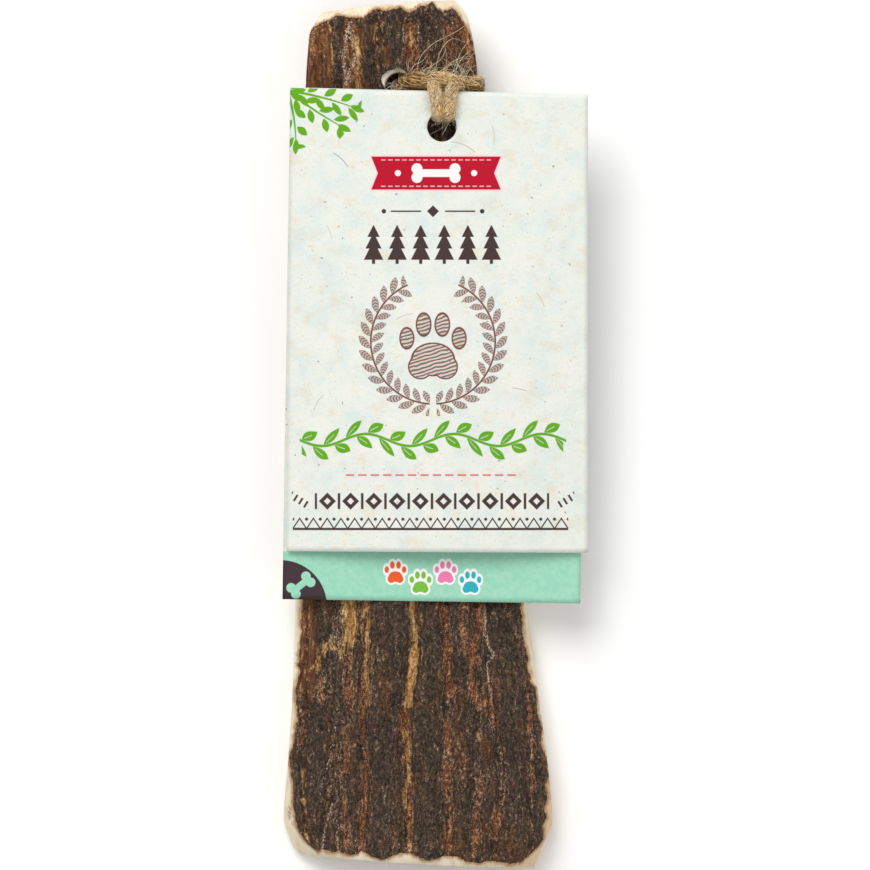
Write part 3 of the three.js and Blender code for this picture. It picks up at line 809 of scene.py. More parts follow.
    bare = depth.rising(-0.02, 0.14)
    colour = finish.blend(bare, base, rim)
    wet = rusted.most(gilded).most(broken_and_highlit)
    roughness = 0.8 + grit * 0.3 - bare * 0.2 - wet * 0.2
    moss = (wool * 1.1 + grit * 0.6) * (1 - worn * 0.6) + thread * 1.5 - rusted * 0.25
    moss = moss * (1 - bare * 0.95)
    saw = finish.noise(finish.place.scaled(0.4, 5, 5), 1, 2) * bare * 0.12
    height = moss + saw - open_pore * spongy * 2.2
    return finish.done(colour, roughness.clamped(), height, 0.00042, **{"Specular IOR Level": 0.35})


antler.data.materials.append(antler_finish())
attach(antler, "root")
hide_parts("antler")

# The tag
# One strip of printed card, folded over at the top so that its longer back leaf shows below the
# front one as a mint band. A hole is punched through both leaves for the twine.

# Millimetres. The front leaf bows out over the back one, and a gap is left all round the twine.
CARD = 0.4
FOLD_RADIUS = 0.6
LEAF_BOW = 2.2
GAP = 0.3
TWINE_RADIUS = 1.05

# The punched hole, and the line on which the twine's strands lie behind the card.
PUNCH_X = 441.9
PUNCH_Y = 128
PUNCH_RADIUS = 2.47
STRANDS_Y = 110

# Left and right corner of the fold and of each leaf's hem.
FOLD = ((290.7, 89.7), (587.3, 96.8))
FRONT_HEM = ((286.8, 551), (587.8, 552.6))
BACK_HEM = ((282.5, 599), (580.2, 603.3))

CARD_COLUMNS = 56
LEAF_ROWS = 84
FOLD_ROWS = 12

# The back leaf's hem lies as low as the solid tag does, in millimetres.
HEM_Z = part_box("tag")[0].z * 1000 + CARD / 2


def plain_front(x, y):
    """Height of the solid's front, without the fine relief that the bark has here."""
    return lift(y) + crown(x, y) + waves(x, y) - furrow_depth(x, y)


def bark_top(x, y, reach):
    """The highest bark within reach of a point, in millimetres, for what lies on it."""
    steps = np.array([-1, -0.5, 0, 0.5, 1]) * reach / MM
    over, down = np.meshgrid(x + steps, y + steps)
    return float(plain_front(over, down).max())


FOLD_Z = bark_top(PUNCH_X, STRANDS_Y, 2.4) + 2 * GAP + 2 * TWINE_RADIUS + CARD / 2


def back_leaf_z(y):
    return mix(FOLD_Z, HEM_Z, (y - FOLD[0][1]) / (BACK_HEM[0][1] - FOLD[0][1]))


def on_card(across, path):
    """Picture x and y and height of the middle of the card.

    path runs from 0 at the front leaf's hem to 1 at the fold, and on to 2 at the back leaf's hem.
    """
    fold_share = FOLD_ROWS / (2 * LEAF_ROWS + FOLD_ROWS)
    turn = np.clip((path - 1 + fold_share) / (2 * fold_share), 0, 1) * np.pi
    leaf = np.clip(np.abs(path - 1) - fold_share, 0, None) / (1 - fold_share)
    hem = np.where(path < 1, 0, 1)
    left_hem = np.array([FRONT_HEM[0], BACK_HEM[0]])[hem]
    right_hem = np.array([FRONT_HEM[1], BACK_HEM[1]])[hem]
    start = FOLD_RADIUS / MM / (left_hem[:, 1] - FOLD[0][1])
    down = mix(start, 1, leaf) * (leaf > 0) + (1 - np.sin(turn)) * start * (leaf <= 0)
    left = mix(np.array(FOLD[0]), left_hem, down[:, None])
    right = mix(np.array(FOLD[1]), right_hem, down[:, None])
    x, y = mix(left, right, across[:, None]).T
    belly = np.sin(np.pi * np.clip(across, 0, 1)) ** 1.3 * np.sin(down * np.pi / 2) ** 2
    opening = FOLD_RADIUS * (1 + np.cos(turn)) + LEAF_BOW * belly * (turn <= 0)
    ripple = 0.06 * lumps(x, y, 70, 90, 51) * (leaf > 0)
    return x, y, back_leaf_z(y) + opening + ripple


strip = bmesh.new()
bmesh.ops.create_grid(strip, x_segments=CARD_COLUMNS, y_segments=2 * LEAF_ROWS + FOLD_ROWS, size=0.5)
card_mesh = mesh_of("folded_tag", strip)
card_across, card_path, _ = corners_of(card_mesh).T
put_corners(card_mesh, *on_card(card_across + 0.5, 2 * (card_path + 0.5)))
tag = linked("folded_tag", card_mesh)
card_stock = tag.modifiers.new("card", "SOLIDIFY")
card_stock.thickness = CARD / 1000
card_stock.offset = 0
tag.data = final_mesh(tag)
tag.modifiers.clear()
punch = round_cutter("punch", PUNCH_X, PUNCH_Y, [
    (PUNCH_RADIUS, FOLD_Z - 3), (PUNCH_RADIUS, FOLD_Z + 5),
], 72)
cut_away(tag, punch)


class Picture:
    """Shapes printed on the card, in picture units. Each is below 0 inside and above 0 outside."""

    def __init__(self, x, y):
        self.x = x
        self.y = y

    def turned(self, x, y, degrees):
        """The same print seen from a point, with x along a direction given down from level."""
        cosine = math.cos(math.radians(degrees))
        sine = math.sin(math.radians(degrees))
        across = self.x - x
        down = self.y - y
        return Picture(across * cosine + down * sine, down * cosine - across * sine)

    def mirrored(self, x):
        return Picture(abs(self.x - x), self.y)

    def repeated(self, start, step):
        """Every step along x is the same cell, with x = 0 at its middle."""
        return Picture((self.x - start).math("FLOORED_MODULO", step) - step / 2, self.y)

    def disc(self, x, y, radius):
        return length_of(self.x - x, self.y - y) - radius

    def oval(self, x, y, half_width, half_height):
        across = (self.x - x) * (1 / half_width)
        down = (self.y - y) * (1 / half_height)
        return (length_of(across, down) - 1) * min(half_width, half_height)

    def box(self, x, y, half_width, half_height):
        return (abs(self.x - x) - half_width).most(abs(self.y - y) - half_height)

    def diamond(self, x, y, reach):
        return (abs(self.x - x) + abs(self.y - y) - reach) * 0.7

    def leaf(self, length, width):
        """A leaf from its stalk at 0 to its tip along x."""
        middle = self.x * (2 / length) - 1
        return abs(self.y) - (1 - middle * middle) * (width / 2)

    def bone(self, length, thickness):
        """A dog's biscuit bone lying along x, with two knobs at each end."""
        quarter = Picture(abs(self.x), abs(self.y))
        knobs = quarter.disc(length / 2 - thickness * 0.45, thickness * 0.48, thickness * 0.6)
        return knobs.least(quarter.box(0, 0, length / 2 - thickness * 0.4, thickness * 0.42))

    def paw(self, x, y, size):
        """A paw print: one broad pad under four toes."""
        half = self.mirrored(x)
        pad = half.oval(0, y + size * 0.22, size * 0.34, size * 0.26)
        lobes = half.disc(size * 0.2, y + size * 0.34, size * 0.19)
        inner = half.oval(size * 0.15, y - size * 0.34, size * 0.115, size * 0.18)
        outer = half.oval(size * 0.42, y - size * 0.12, size * 0.11, size * 0.165)
        return pad.least(lobes).least(inner).least(outer)


def length_of(across, down):
    return (across * across + down * down).math("SQRT")


INK_EDGE = 0.7


def filled(shape):
    """1 inside a printed shape and 0 outside, with an edge as soft as ink on card."""
    return (0.5 - shape / INK_EDGE).clamped()


def banded(shape, half_width):
    """1 on a line of that half width round a shape's edge."""
    return filled(abs(shape) - half_width)


def within(value, low, high):
    return filled((low - value).most(value - high))


def twig(print_, x, y, degrees, reach, bend, gap, leaf_length, leaf_width):
    """A bent twig with leaves in turn on its two sides, growing along x from a point."""
    local = print_.turned(x, y, degrees)
    side = local.y - local.x * local.x * bend
    stem = filled(abs(side) - (1.5 - local.x / reach)) * within(local.x, 0, reach)
    step = side.math("GREATER_THAN", 0) * (gap / 2)
    cell = (local.x + step).math("FLOORED_MODULO", gap)
    stalk = Picture(cell - gap * 0.18, abs(side) - 2.0).turned(0, 0, 42)
    leaves = filled(stalk.leaf(leaf_length, leaf_width)) * within(local.x, -2, reach + 5)
    tip = filled(Picture(local.x - reach + 6, side).leaf(leaf_length, leaf_width))
    return stem.most(leaves).most(tip)


BARK_BROWN = ink(70, 52, 50)
SEPIA = ink(122, 68, 60)
LEAF_GREEN = ink(98, 168, 20)
RIBBON_RED = ink(188, 0, 40)


def paper(finish, print_):
    """Uncoated card: off-white, mottled faintly in mint and cream, with flecks and a few fibres."""
    cloud = finish.noise(finish.place, 0.22, 5, 0.7)
    base = finish.ramp(cloud, [
        (0.34, 219, 230, 226), (0.48, 230, 235, 227), (0.62, 237, 237, 227),
    ])
    warm = finish.noise(finish.place.scaled(1, 1.2, 1), 0.3, 5, 0.72)
    base = finish.blend(warm.rising(0.50, 0.68) * 0.65, base, ink(228, 219, 198))
    grain = finish.noise(finish.place, 2.4, 3, 0.6)
    base = finish.blend(grain.rising(0.48, 0.75) * 0.3, base, ink(206, 206, 192))
    smudge = finish.noise(finish.place.scaled(1, 1.6, 1), 0.9, 2, 0.6).rising(0.68, 0.78)
    base = finish.blend(smudge * 0.5, base, ink(196, 184, 160))
    speck = finish.noise(finish.place, 1.5, 0).rising(0.82, 0.86)
    base = finish.blend(speck * 0.6, base, ink(128, 114, 98))
    dust = finish.noise(finish.place, 3.4, 0).rising(0.80, 0.86)
    base = finish.blend(dust * 0.4, base, ink(136, 124, 108))

    # Loose fibres pressed into the card: middle, direction, half length, width and colour.
    for x, y, degrees, reach, width, hue in (
        (464, 146, 24, 13, 1.0, ink(204, 172, 138)), (494, 136, 84, 10, 0.9, ink(216, 192, 160)),
        (342, 160, 44, 10, 0.8, ink(128, 120, 118)), (404, 316, -20, 9, 0.7, ink(196, 170, 140)),
        (541, 300, 62, 8, 0.7, ink(190, 168, 140)), (318, 402, -58, 9, 0.8, ink(204, 176, 142)),
        (519, 389, 12, 7, 0.7, ink(170, 150, 128)), (330, 232, 70, 7, 0.6, ink(196, 176, 150)),
    ):
        local = print_.turned(x, y, degrees)
        bent = local.y - local.x * local.x * 0.014
        base = finish.blend(filled(abs(bent) - width / 2) * within(local.x, -reach, reach) * 0.8, base, hue)
    return base


def printed_front(finish, print_, base):
    """The front leaf: green sprigs, a red ribbon, firs, a paw in a wreath, a vine and borders."""
    x, y = print_.x, print_.y

    def lay(share, colour):
        nonlocal base
        base = finish.blend(share, base, colour)

    # Sprigs that grow in from the top left corner.
    for degrees, reach, bend in ((8, 70, 0.0016), (38, 66, -0.0012), (72, 54, 0.003)):
        lay(twig(print_, 288, 92, degrees, reach, bend, 17, 15, 6.6), LEAF_GREEN)

    # A red ribbon with notched ends, stitched along both edges, with a bone between two dots.
    notch = 58 + abs(y - 174) * 0.4
    ribbon = (abs(x - 436) - notch).most(abs(y - 174) - 16.5)
    lay(filled(ribbon - 1.6), ink(248, 214, 212))
    lay(filled(ribbon), RIBBON_RED)
    stitch = print_.repeated(436, 7).box(0, 0, 2.2, 400)
    seams = within(abs(y - 174), 12.6, 13.6) * filled(stitch) * within(abs(x - 436), 0, 57)
    lay(seams, ink(240, 190, 190))
    lay(filled(print_.turned(436, 174, 0).bone(46, 9)), ink(250, 244, 240))
    lay(filled(print_.mirrored(436).disc(38, 174, 3.0)), ink(250, 244, 240))

    # A rule broken by a diamond.
    half = print_.mirrored(433)
    rule = filled(half.diamond(0, 212, 6)).most(filled(half.box(27, 212, 15, 0.8)))
    lay(rule.most(filled(half.disc(49, 212, 2.3))), BARK_BROWN)

    # Six firs in a row.
    row = print_.repeated(362, 23.5)
    tier = (y - 226) * (1 / 11.6)
    skirt = tier.math("FLOOR") * 1.9 + tier.math("FRACT") * 5.8 + 0.4
    firs = filled(abs(row.x) - skirt) * within(y, 226, 260.4)
    trunks = filled(row.box(0, 261, 1.6, 3.5))
    lay(firs.most(trunks) * within(x, 362, 503), BARK_BROWN)

    # A paw engraved in fine lines, in a wreath of leaves that is open at the top.
    paw = print_.paw(433, 346, 62)
    swell = finish.noise(finish.place, 0.6, 1) * 6
    strokes = (y * 1.7 + (x - 433) * 0.5 + swell).math("SINE").rising(-0.5, 0.5)
    shade = (0.25 + strokes * 0.65) * filled(paw)
    lay(shade.most(banded(paw, 0.8)), SEPIA)
    across = x - 433
    down = y - 342
    half_turn = abs(across).math("ARCTAN2", down) * (180 / math.pi)
    ring = Picture(half_turn * 1.17, length_of(across, down) - 62)
    step = ring.y.math("GREATER_THAN", 0) * 6.5
    cell = (ring.x + step).math("FLOORED_MODULO", 13)
    leaf = Picture(cell - 1, abs(ring.y) - 1.2).turned(0, 0, 40)
    grown = within(half_turn, 3, 156)
    blade = leaf.leaf(17, 6.4)
    veins = (leaf.x * 2.1 + abs(leaf.y) * 1.2).math("SINE").rising(0.1, 0.7)
    shade = filled(blade) * (0.5 + veins * 0.45)
    lay(shade.most(banded(blade, 0.35) * 0.9) * grown, SEPIA)
    lay(filled(abs(ring.y) - 0.9) * grown, SEPIA)

    # A green vine right across.
    wave = (x - 300) * (2 * math.pi / 88)
    vine_y = y - 440 - wave.math("SINE") * 6
    stem = filled(abs(vine_y) - 1.4) * within(x, 300, 566)
    step = vine_y.math("GREATER_THAN", 0) * 11
    cell = (x - 300 + step).math("FLOORED_MODULO", 22)
    leaf = Picture(cell - 2, abs(vine_y) - 1.5).turned(0, 0, 38)
    split = filled(abs(leaf.y) - 0.4) * within(leaf.x, 3, 13)
    lay(stem.most(filled(leaf.leaf(20, 8.6)) * (1 - split * 0.6) * within(x, 302, 563)), LEAF_GREEN)

    # A row of red dashes.
    dash = filled(print_.repeated(344, 12.4).box(0, 475, 4.2, 0.9)) * within(x, 345, 520)
    lay(dash * 0.85, ink(214, 72, 78))

    # Two borders in brown: diamonds and bars, then small peaks and dots.
    chain = print_.repeated(316, 23.2)
    links = filled(chain.diamond(0, 501, 8.6)) * (1 - filled(chain.diamond(0, 501, 3.4)))
    bars = filled(abs(abs(chain.x) - 11.6) - 1.3) * within(y, 493, 509)
    lay(links.most(bars) * within(x, 315, 549), BARK_BROWN)
    peaks = print_.repeated(293, 13.75)
    peak = (abs(peaks.x) * 1.5 + (517 - y)).most(y - 530)
    hollow = filled(peak) * (1 - filled(peak + 2.4))
    dots = filled(print_.repeated(299.9, 13.75).disc(0, 519, 1.6))
    lay(hollow.most(dots) * within(x, 293, 568), BARK_BROWN)
    sparks = print_.mirrored(433).turned(132, 501, -32).repeated(-15, 6).box(0, 0, 1.1, 3.6)
    lay(filled(sparks) * within(abs(x - 433), 124, 141) * within(y, 491, 510), BARK_BROWN)
    return base


def printed_band(finish, print_, base):
    """The strip of the back leaf below the front one: mint, with a trail of four bright paws."""
    x, y = print_.x, print_.y
    wear = finish.noise(finish.place, 1.2, 3)
    mint = finish.ramp(wear, [(0.35, 152, 214, 186), (0.65, 165, 221, 194)])
    base = finish.blend(filled(551 - y), base, mint)

    # A brown corner with a bone left in mint.
    corner = filled(print_.disc(281, 606, 46)) * filled(551 - y)
    mark = filled(print_.turned(301, 585, -38).bone(26, 8))
    base = finish.blend(corner * (1 - mark), base, ink(66, 50, 54))

    # Four paws in four colours, up and down in turn, each outlined in white.
    step = 25
    row = print_.repeated(383, step)
    number = ((x - 383) * (1 / step)).math("FLOOR")
    hop = number.math("FLOORED_MODULO", 2) * 10 + 572
    paw = Picture(row.x, y - hop).paw(0, 0, 20.5)
    shown = within(x, 383, 383 + 4 * step)
    colours = finish.ramp(number * 0.25 + 0.125, [
        (0, 238, 92, 44), (0.25, 122, 190, 60), (0.5, 240, 128, 178),
        (0.75, 44, 176, 190),
    ], stepped=True)
    base = finish.blend(filled(paw - 1.9) * shown, base, ink(247, 249, 246))
    return finish.blend(filled(paw) * shown, base, colours)


def card_finish(name, printed=None):
    finish = Finish(name)
    print_ = Picture(finish.axis(0) * (1 / MM) + MIDDLE_X, MIDDLE_Y - finish.axis(1) * (1 / MM))
    base = paper(finish, print_)
    if printed:
        base = printed(finish, print_, base)
    tooth = finish.noise(finish.place, 2.6, 3, 0.6)
    return finish.done(base, 0.72 + tooth * 0.16, tooth, 0.00003, **{"Specular IOR Level": 0.3})


PLAIN, FRONT, BAND = range(3)
for made in (
    card_finish("card"), card_finish("card_front", printed_front), card_finish("card_band", printed_band)
):
    tag.data.materials.append(made)
for face in tag.data.polygons:
    middle_x, middle_y, middle_z = picture_of(face.center)
    over = middle_z - back_leaf_z(middle_y)
    outer = face.normal.z > 0.2 or (face.normal.y > 0.2 and middle_y < FOLD[1][1])
    face.material_index = PLAIN
    if outer:
        face.material_index = FRONT if over > 1.5 * FOLD_RADIUS else BAND
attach(tag, "root")
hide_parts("tag")

# The twine
# One length of jute twine: a bight of it passes out through the tag's punched hole and over the
# fold, and its two ends go round the slab, one through the drilled hole, to a knot behind.

# Heights of the twine's middle in millimetres, then where it passes in the picture.
STRAND_RADIUS = 0.85
BEHIND_CARD = back_leaf_z(STRANDS_Y) - CARD / 2 - GAP - TWINE_RADIUS
OVER_CARD = back_leaf_z(STRANDS_Y) + 2 * FOLD_RADIUS + CARD / 2 + GAP + STRAND_RADIUS
BEHIND_SLAB = 2.6
LEFT_STRAND = 436.9
RIGHT_STRAND = 449.3
THROUGH_PUNCH = 124.5
KNOT_X = 439
KNOT_Y = 84.5

# The fluffed-up twine is this much thicker than the round that its solid has. It is squeezed where
# it turns over the slab's side and where it rubs the top of the punched hole.
FLUFFED = 1.14
SQUEEZED_SIDE = 0.38
SQUEEZED_PUNCH = 0.55
PUNCH_TOP = 114

# Its plies and their turns for each millimetre, the tones that its fibres take in turn, and the steps
# of its route and of the longest strays, in metres.
PLIES = 3
TWIST = 0.13
TONES = 17
HAIR_STEPS = 9
ROUTE_STEP = 0.00035
STRAY_STEP = 0.0007


def on_bark(x, y, radius):
    return x, y, bark_top(x, y, radius) + GAP + radius


def strand(x, bend):
    """Up behind the card, out through the punched hole, pulled together there, and over the fold."""
    drawn_in = x - bend * 0.4
    return [
        (x, 104, BEHIND_CARD), (drawn_in, 117, BEHIND_CARD),
        (drawn_in, THROUGH_PUNCH, (BEHIND_CARD + OVER_CARD) / 2), (drawn_in, 116, OVER_CARD + 0.1),
        (x, 104, OVER_CARD + 0.1), (x + bend * 0.4, 94, OVER_CARD), (x + bend, 86, OVER_CARD - 0.3),
    ]


def run_along(points):
    """How far along a line each of its points is."""
    return np.concatenate([[0], np.cumsum(np.linalg.norm(np.diff(points, axis=0), axis=1))])


def smooth_route(points, step):
    """A smooth line through points in metres, as points a step apart."""
    whole = [2 * points[0] - points[1], *points, 2 * points[-1] - points[-2]]
    fine = []
    for a, b, c, d in zip(whole, whole[1:], whole[2:], whole[3:]):
        ab, bc, cd = (math.sqrt(np.linalg.norm(q - p)) for p, q in ((a, b), (b, c), (c, d)))
        leave = ((b - a) / ab - (c - a) / (ab + bc) + (c - b) / bc) * bc
        arrive = ((c - b) / bc - (d - b) / (bc + cd) + (d - c) / cd) * bc
        for t in np.linspace(0, 1, 24, endpoint=False):
            swing = leave * (t**3 - 2 * t**2 + t) + arrive * (t**3 - t**2)
            fine.append(b + (c - b) * t * t * (3 - 2 * t) + swing)
    fine = np.array([*fine, points[-1]])
    run = run_along(fine)
    spots = np.linspace(0, run[-1], max(3, round(run[-1] / step)))
    return np.stack([np.interp(spots, run, fine[:, k]) for k in range(3)], axis=-1)


def ahead_of(route):
    """The direction of a route at each of its points."""
    steps = np.gradient(route, axis=0)
    return steps / np.linalg.norm(steps, axis=1)[:, None]


def sides_of(route):
    """Two directions across a route at each of its points, that don't twist along it."""
    ahead = ahead_of(route)
    over = np.cross(ahead[0], (0.31, 0.52, 0.79))
    sides = []
    for forward in ahead:
        over = over - forward * np.dot(over, forward)
        over = over / np.linalg.norm(over)
        sides.append(over)
    sides = np.array(sides)
    return sides, np.cross(ahead, sides)


def spun(name, strands, roundness, paleness):
    """Round strands as one mesh. Each is a row of points in metres and their radii in millimetres."""
    curve = bpy.data.curves.new(name, "CURVE")
    curve.dimensions = "3D"
    curve.bevel_depth = 0.001
    curve.bevel_resolution = roundness
    for points, radii in strands:
        spline = curve.splines.new("POLY")
        spline.points.add(len(points) - 1)
        spline.points.foreach_set("co", np.column_stack([points, np.ones(len(points))]).ravel())
        spline.points.foreach_set("radius", radii)
    carrier = linked(name, curve)
    mesh = final_mesh(carrier)
    bpy.data.objects.remove(carrier)
    runs = [run_along(points) for points, _ in strands]
    ring = len(mesh.vertices) // sum(len(run) for run in runs)
    tones = [np.full(len(run), paleness + k % TONES / (TONES - 1)) for k, run in enumerate(runs)]
    stamp(mesh, "run", np.repeat(np.concatenate(runs) * 1000, ring))
    stamp(mesh, "tone", np.repeat(np.concatenate(tones), ring))
    return mesh


chance = np.random.default_rng(8)


def turned_by(angle, over, up):
    """Directions round a route, turned by an angle from the first of two across it."""
    return over * np.cos(angle)[:, None] + up * np.sin(angle)[:, None]


def plies(route, radius):
    """The plies that one length of twine is laid from, each wound round its middle."""
    over, up = sides_of(route)
    run = run_along(route) * 1000
    laid = []
    for ply in range(PLIES):
        around = turned_by(2 * np.pi * (run * TWIST + ply / PLIES), over, up)
        fat = radius * (0.54 + 0.05 * np.sin(run * 1.7 + ply * 2.1) + 0.03 * np.sin(run * 4.1 + ply))
        laid.append((route + around * 0.00046 * radius, fat))
    return laid


def surface_fibres(route, radius, count):
    """Fibres that wander over the outside of the twine."""
    over, up = sides_of(route)
    run = run_along(route) * 1000
    lying = []
    for _ in range(count):
        length = chance.integers(7, 17)
        start = chance.integers(0, max(1, len(route) - length))
        span = slice(start, start + length)
        if len(run[span]) < 4:
            continue
        angle = 2 * np.pi * (run[span] * TWIST * chance.uniform(-0.3, 1.7) + chance.random())
        away = radius * (1.0 + 0.12 * np.sin(run[span] * chance.uniform(1, 5) + chance.random() * 6))
        away = away + 0.4 * radius * np.abs(np.linspace(-1, 1, len(angle))) ** 5 * chance.random()
        around = turned_by(angle, over[span], up[span])
        thin = np.full(len(angle), chance.uniform(0.026, 0.058))
        thin[[0, -1]] = 0.012
        lying.append((route[span] + around * away[:, None] * 0.001, thin))
    return lying


def loose_hair(start, way, length, curl):
    """One thin fibre that leaves the twine and curls away, from a place in metres."""
    points = [np.array(start, float)]
    way = np.array(way, float)
    way = way / np.linalg.norm(way)
    bend = chance.normal(0, 1, 3) * (1, 1, 0.3) * curl
    for _ in range(HAIR_STEPS):
        way = way + bend + chance.normal(0, 0.07, 3)
        way = way / np.linalg.norm(way)
        points.append(points[-1] + way * length / HAIR_STEPS * 0.001)
    thin = np.linspace(chance.uniform(0.026, 0.042), 0.014, len(points))
    return np.array(points), thin


def fuzz(route, radius, count):
    """Short fibres that stick out all round a length of twine."""
    over, up = sides_of(route)
    ahead = ahead_of(route)
    hairs = []
    for _ in range(count):
        at = chance.integers(0, len(route))
        angle = chance.uniform(0, 2 * np.pi)
        out = over[at] * np.cos(angle) + up[at] * np.sin(angle)
        way = out * chance.uniform(0.3, 1) + ahead[at] * chance.uniform(-1.2, 1.2)
        hairs.append(loose_hair(route[at] + out * radius * 0.0009, way, chance.uniform(0.6, 2.4), 0.1))
    return hairs


def strays(count, x, y, z, to_x, to_y, length, curl):
    """Long fibres that leave one stretch of twine, all about the same way in the picture."""
    hairs = []
    for _ in range(count):
        start = in_metres([(chance.uniform(*x), chance.uniform(*y), z)])[0]
        way = (chance.uniform(*to_x), -chance.uniform(*to_y), chance.uniform(0.1, 0.4))
        hairs.append(loose_hair(start, way, chance.uniform(*length), curl))
    return hairs


middle_x = (LEFT_STRAND + RIGHT_STRAND) / 2
bight = in_metres([
    *strand(LEFT_STRAND, -3), (middle_x - 4, 81, OVER_CARD - 0.7), (middle_x + 4, 81, OVER_CARD - 0.7),
    *reversed(strand(RIGHT_STRAND, 3)),
])
collar = in_metres([
    (424, 83, OVER_CARD - 1.5), (430, 80, OVER_CARD - 0.4), (437, 79, OVER_CARD + 0.1),
    (444, 80, OVER_CARD + 0.2), (451, 81.5, OVER_CARD), (458, 83.5, OVER_CARD - 0.5),
    (464, 85, OVER_CARD - 1.4),
])
edge_x = float(line_at(RIGHT_EDGE, 85)) + (TWINE_RADIUS + GAP) / MM
right_end = in_metres([
    (RIGHT_STRAND, STRANDS_Y, BEHIND_CARD), (RIGHT_STRAND + 1, 96, BEHIND_CARD),
    (458, 87, max(BEHIND_CARD, on_bark(458, 87, TWINE_RADIUS)[2])), on_bark(468, 85, TWINE_RADIUS),
    on_bark(476, 84.5, TWINE_RADIUS + 0.35), (edge_x, 84.5, lift(85) + 3.8),
    (edge_x, 84.5, lift(85) + 1), (edge_x - 5, 84.5, BEHIND_SLAB + 0.5), (465, 84.5, BEHIND_SLAB),
    (446, 84.5, BEHIND_SLAB),
])
lip = float(plain_front(406, 85))
left_end = in_metres([
    (LEFT_STRAND, STRANDS_Y, BEHIND_CARD), (LEFT_STRAND - 1, 96, BEHIND_CARD),
    (427, 83, max(BEHIND_CARD, on_bark(427, 83, TWINE_RADIUS)[2])),
    on_bark(416, 80.5, TWINE_RADIUS + 0.1), (409, 81.5, lip + 0.7), (DRILL_X + 5.5, 84, lip - 2),
    (DRILL_X + 2, DRILL_Y, lift(DRILL_Y) + 1.5), (403, 86, BEHIND_SLAB + 0.6), (413, 84.5, BEHIND_SLAB),
    (432, 84.5, BEHIND_SLAB),
])
knot_turns = np.linspace(0, 2 * np.pi, 30)
knot = np.stack([
    KNOT_X + (np.sin(knot_turns) + 2 * np.sin(2 * knot_turns)) * 0.62 / MM,
    KNOT_Y + (np.cos(knot_turns) - 2 * np.cos(2 * knot_turns)) * 0.5 / MM,
    BEHIND_SLAB - np.sin(3 * knot_turns) * 0.85,
], axis=-1)
tails = [
    [(KNOT_X, KNOT_Y, BEHIND_SLAB), (KNOT_X + dx * 0.4, KNOT_Y - dy * 0.5, BEHIND_SLAB - 0.3),
     (KNOT_X + dx, KNOT_Y - dy, 1.5)]
    for dx, dy in ((-32, 36), (15, 44))
]
# Each length with its thickness, how hairy it is and how much paler than the rest.
LENGTHS = [
    (bight, STRAND_RADIUS * 1.13, 4.6, 0.75), (collar, STRAND_RADIUS * 1.05, 5.2, 0.4),
    (right_end, TWINE_RADIUS * FLUFFED, 2.9, 0.25), (left_end, TWINE_RADIUS * FLUFFED, 3.3, 0.05),
    (in_metres(knot), 0.85, 0.9, 0), *[(in_metres(tail), STRAND_RADIUS, 1.2, 0) for tail in tails],
]
bundles = []
for points, radius, hairiness, paleness in LENGTHS:
    route = smooth_route(points, ROUTE_STEP)
    fibres = surface_fibres(route, radius, round(len(route) * hairiness))
    fibres += fuzz(route, radius, round(len(route) * hairiness * 0.45))
    # The plies are given a tone 0.45 lower than their fibres: painted shade between the fibres.
    bundles += [(plies(route, radius), 2, paleness - 0.45), (fibres, 0, paleness)]

# The longest strays, which lie over the bark.
FAN = [
    [(442, 76), (446, 68), (454, 61.5), (464.5, 57.5), (473.5, 58)],
    [(445, 76), (447, 69), (453, 63), (461, 59), (471, 59.5)],
    [(434, 76), (436.5, 66), (439.5, 55), (446.7, 43.4), (453, 39.5), (463, 42.5)],
    [(417, 75), (418.5, 63), (424, 53.5), (434, 44.5), (446, 38), (457, 32), (464.5, 26.8)],
    [(452, 76), (456, 64), (463, 49), (471, 39.5)],
    [(421, 75), (427, 69.5), (435, 65), (442, 59), (446, 50)],
    [(454, 77), (458, 66), (464, 56.5), (471, 51)],
    [(466, 78), (463, 70), (455, 65), (447, 66.5)],
    [(411, 73), (414, 66), (421, 63.5), (427, 57)],
]
over_bark = on_bark(430, 78, 0)[2]
hairs = []
for line in FAN:
    clear = np.linspace(1.7, 0.7, len(line))
    route = [(x, y, on_bark(x, y, 0)[2] + over) for (x, y), over in zip(line, clear)]
    route = smooth_route(in_metres(route), STRAY_STEP)
    hairs.append((route, np.linspace(0.050, 0.024, len(route))))

# Shorter ones round the bars, in the drilled hole and in the punched one, and along the strands.
for stretch in (
    (7, (426, 452), (72, 77), over_bark + 1.6, (0.1, 1.1), (-1, -0.35), (3, 7), 0.16),
    (5, (448, 466), (74, 79), over_bark + 1.4, (-0.9, 0.5), (-1, -0.4), (3, 6), 0.18),
    (18, (400, 434), (71, 75), over_bark + 1.3, (-0.3, 0.9), (-1, -0.3), (1.5, 3.5), 0.16),
    (16, (452, 474), (75, 80), over_bark + 1.2, (-0.8, 0.5), (-1, -0.4), (1.5, 3.5), 0.2),
    (14, (389, 400), (80, 90), lip - 0.3, (-1, 0.3), (-0.8, 0.8), (1, 3), 0.35),
    (24, (398, 428), (86, 89), over_bark + 0.6, (-0.8, 0.8), (0, 0.9), (1, 3), 0.3),
    (9, (443, 453), (121, 127), BEHIND_CARD + 1.6, (-0.35, 0.35), (0.6, 1), (3, 5.5), 0.22),
    (14, (429, 433), (93, 112), OVER_CARD - 0.3, (-0.8, -0.1), (-0.6, 1), (1, 2.4), 0.2),
    (14, (453, 456), (93, 114), OVER_CARD - 0.3, (0.1, 0.9), (-0.6, 1), (1, 2.6), 0.2),
):
    hairs += strays(*stretch)

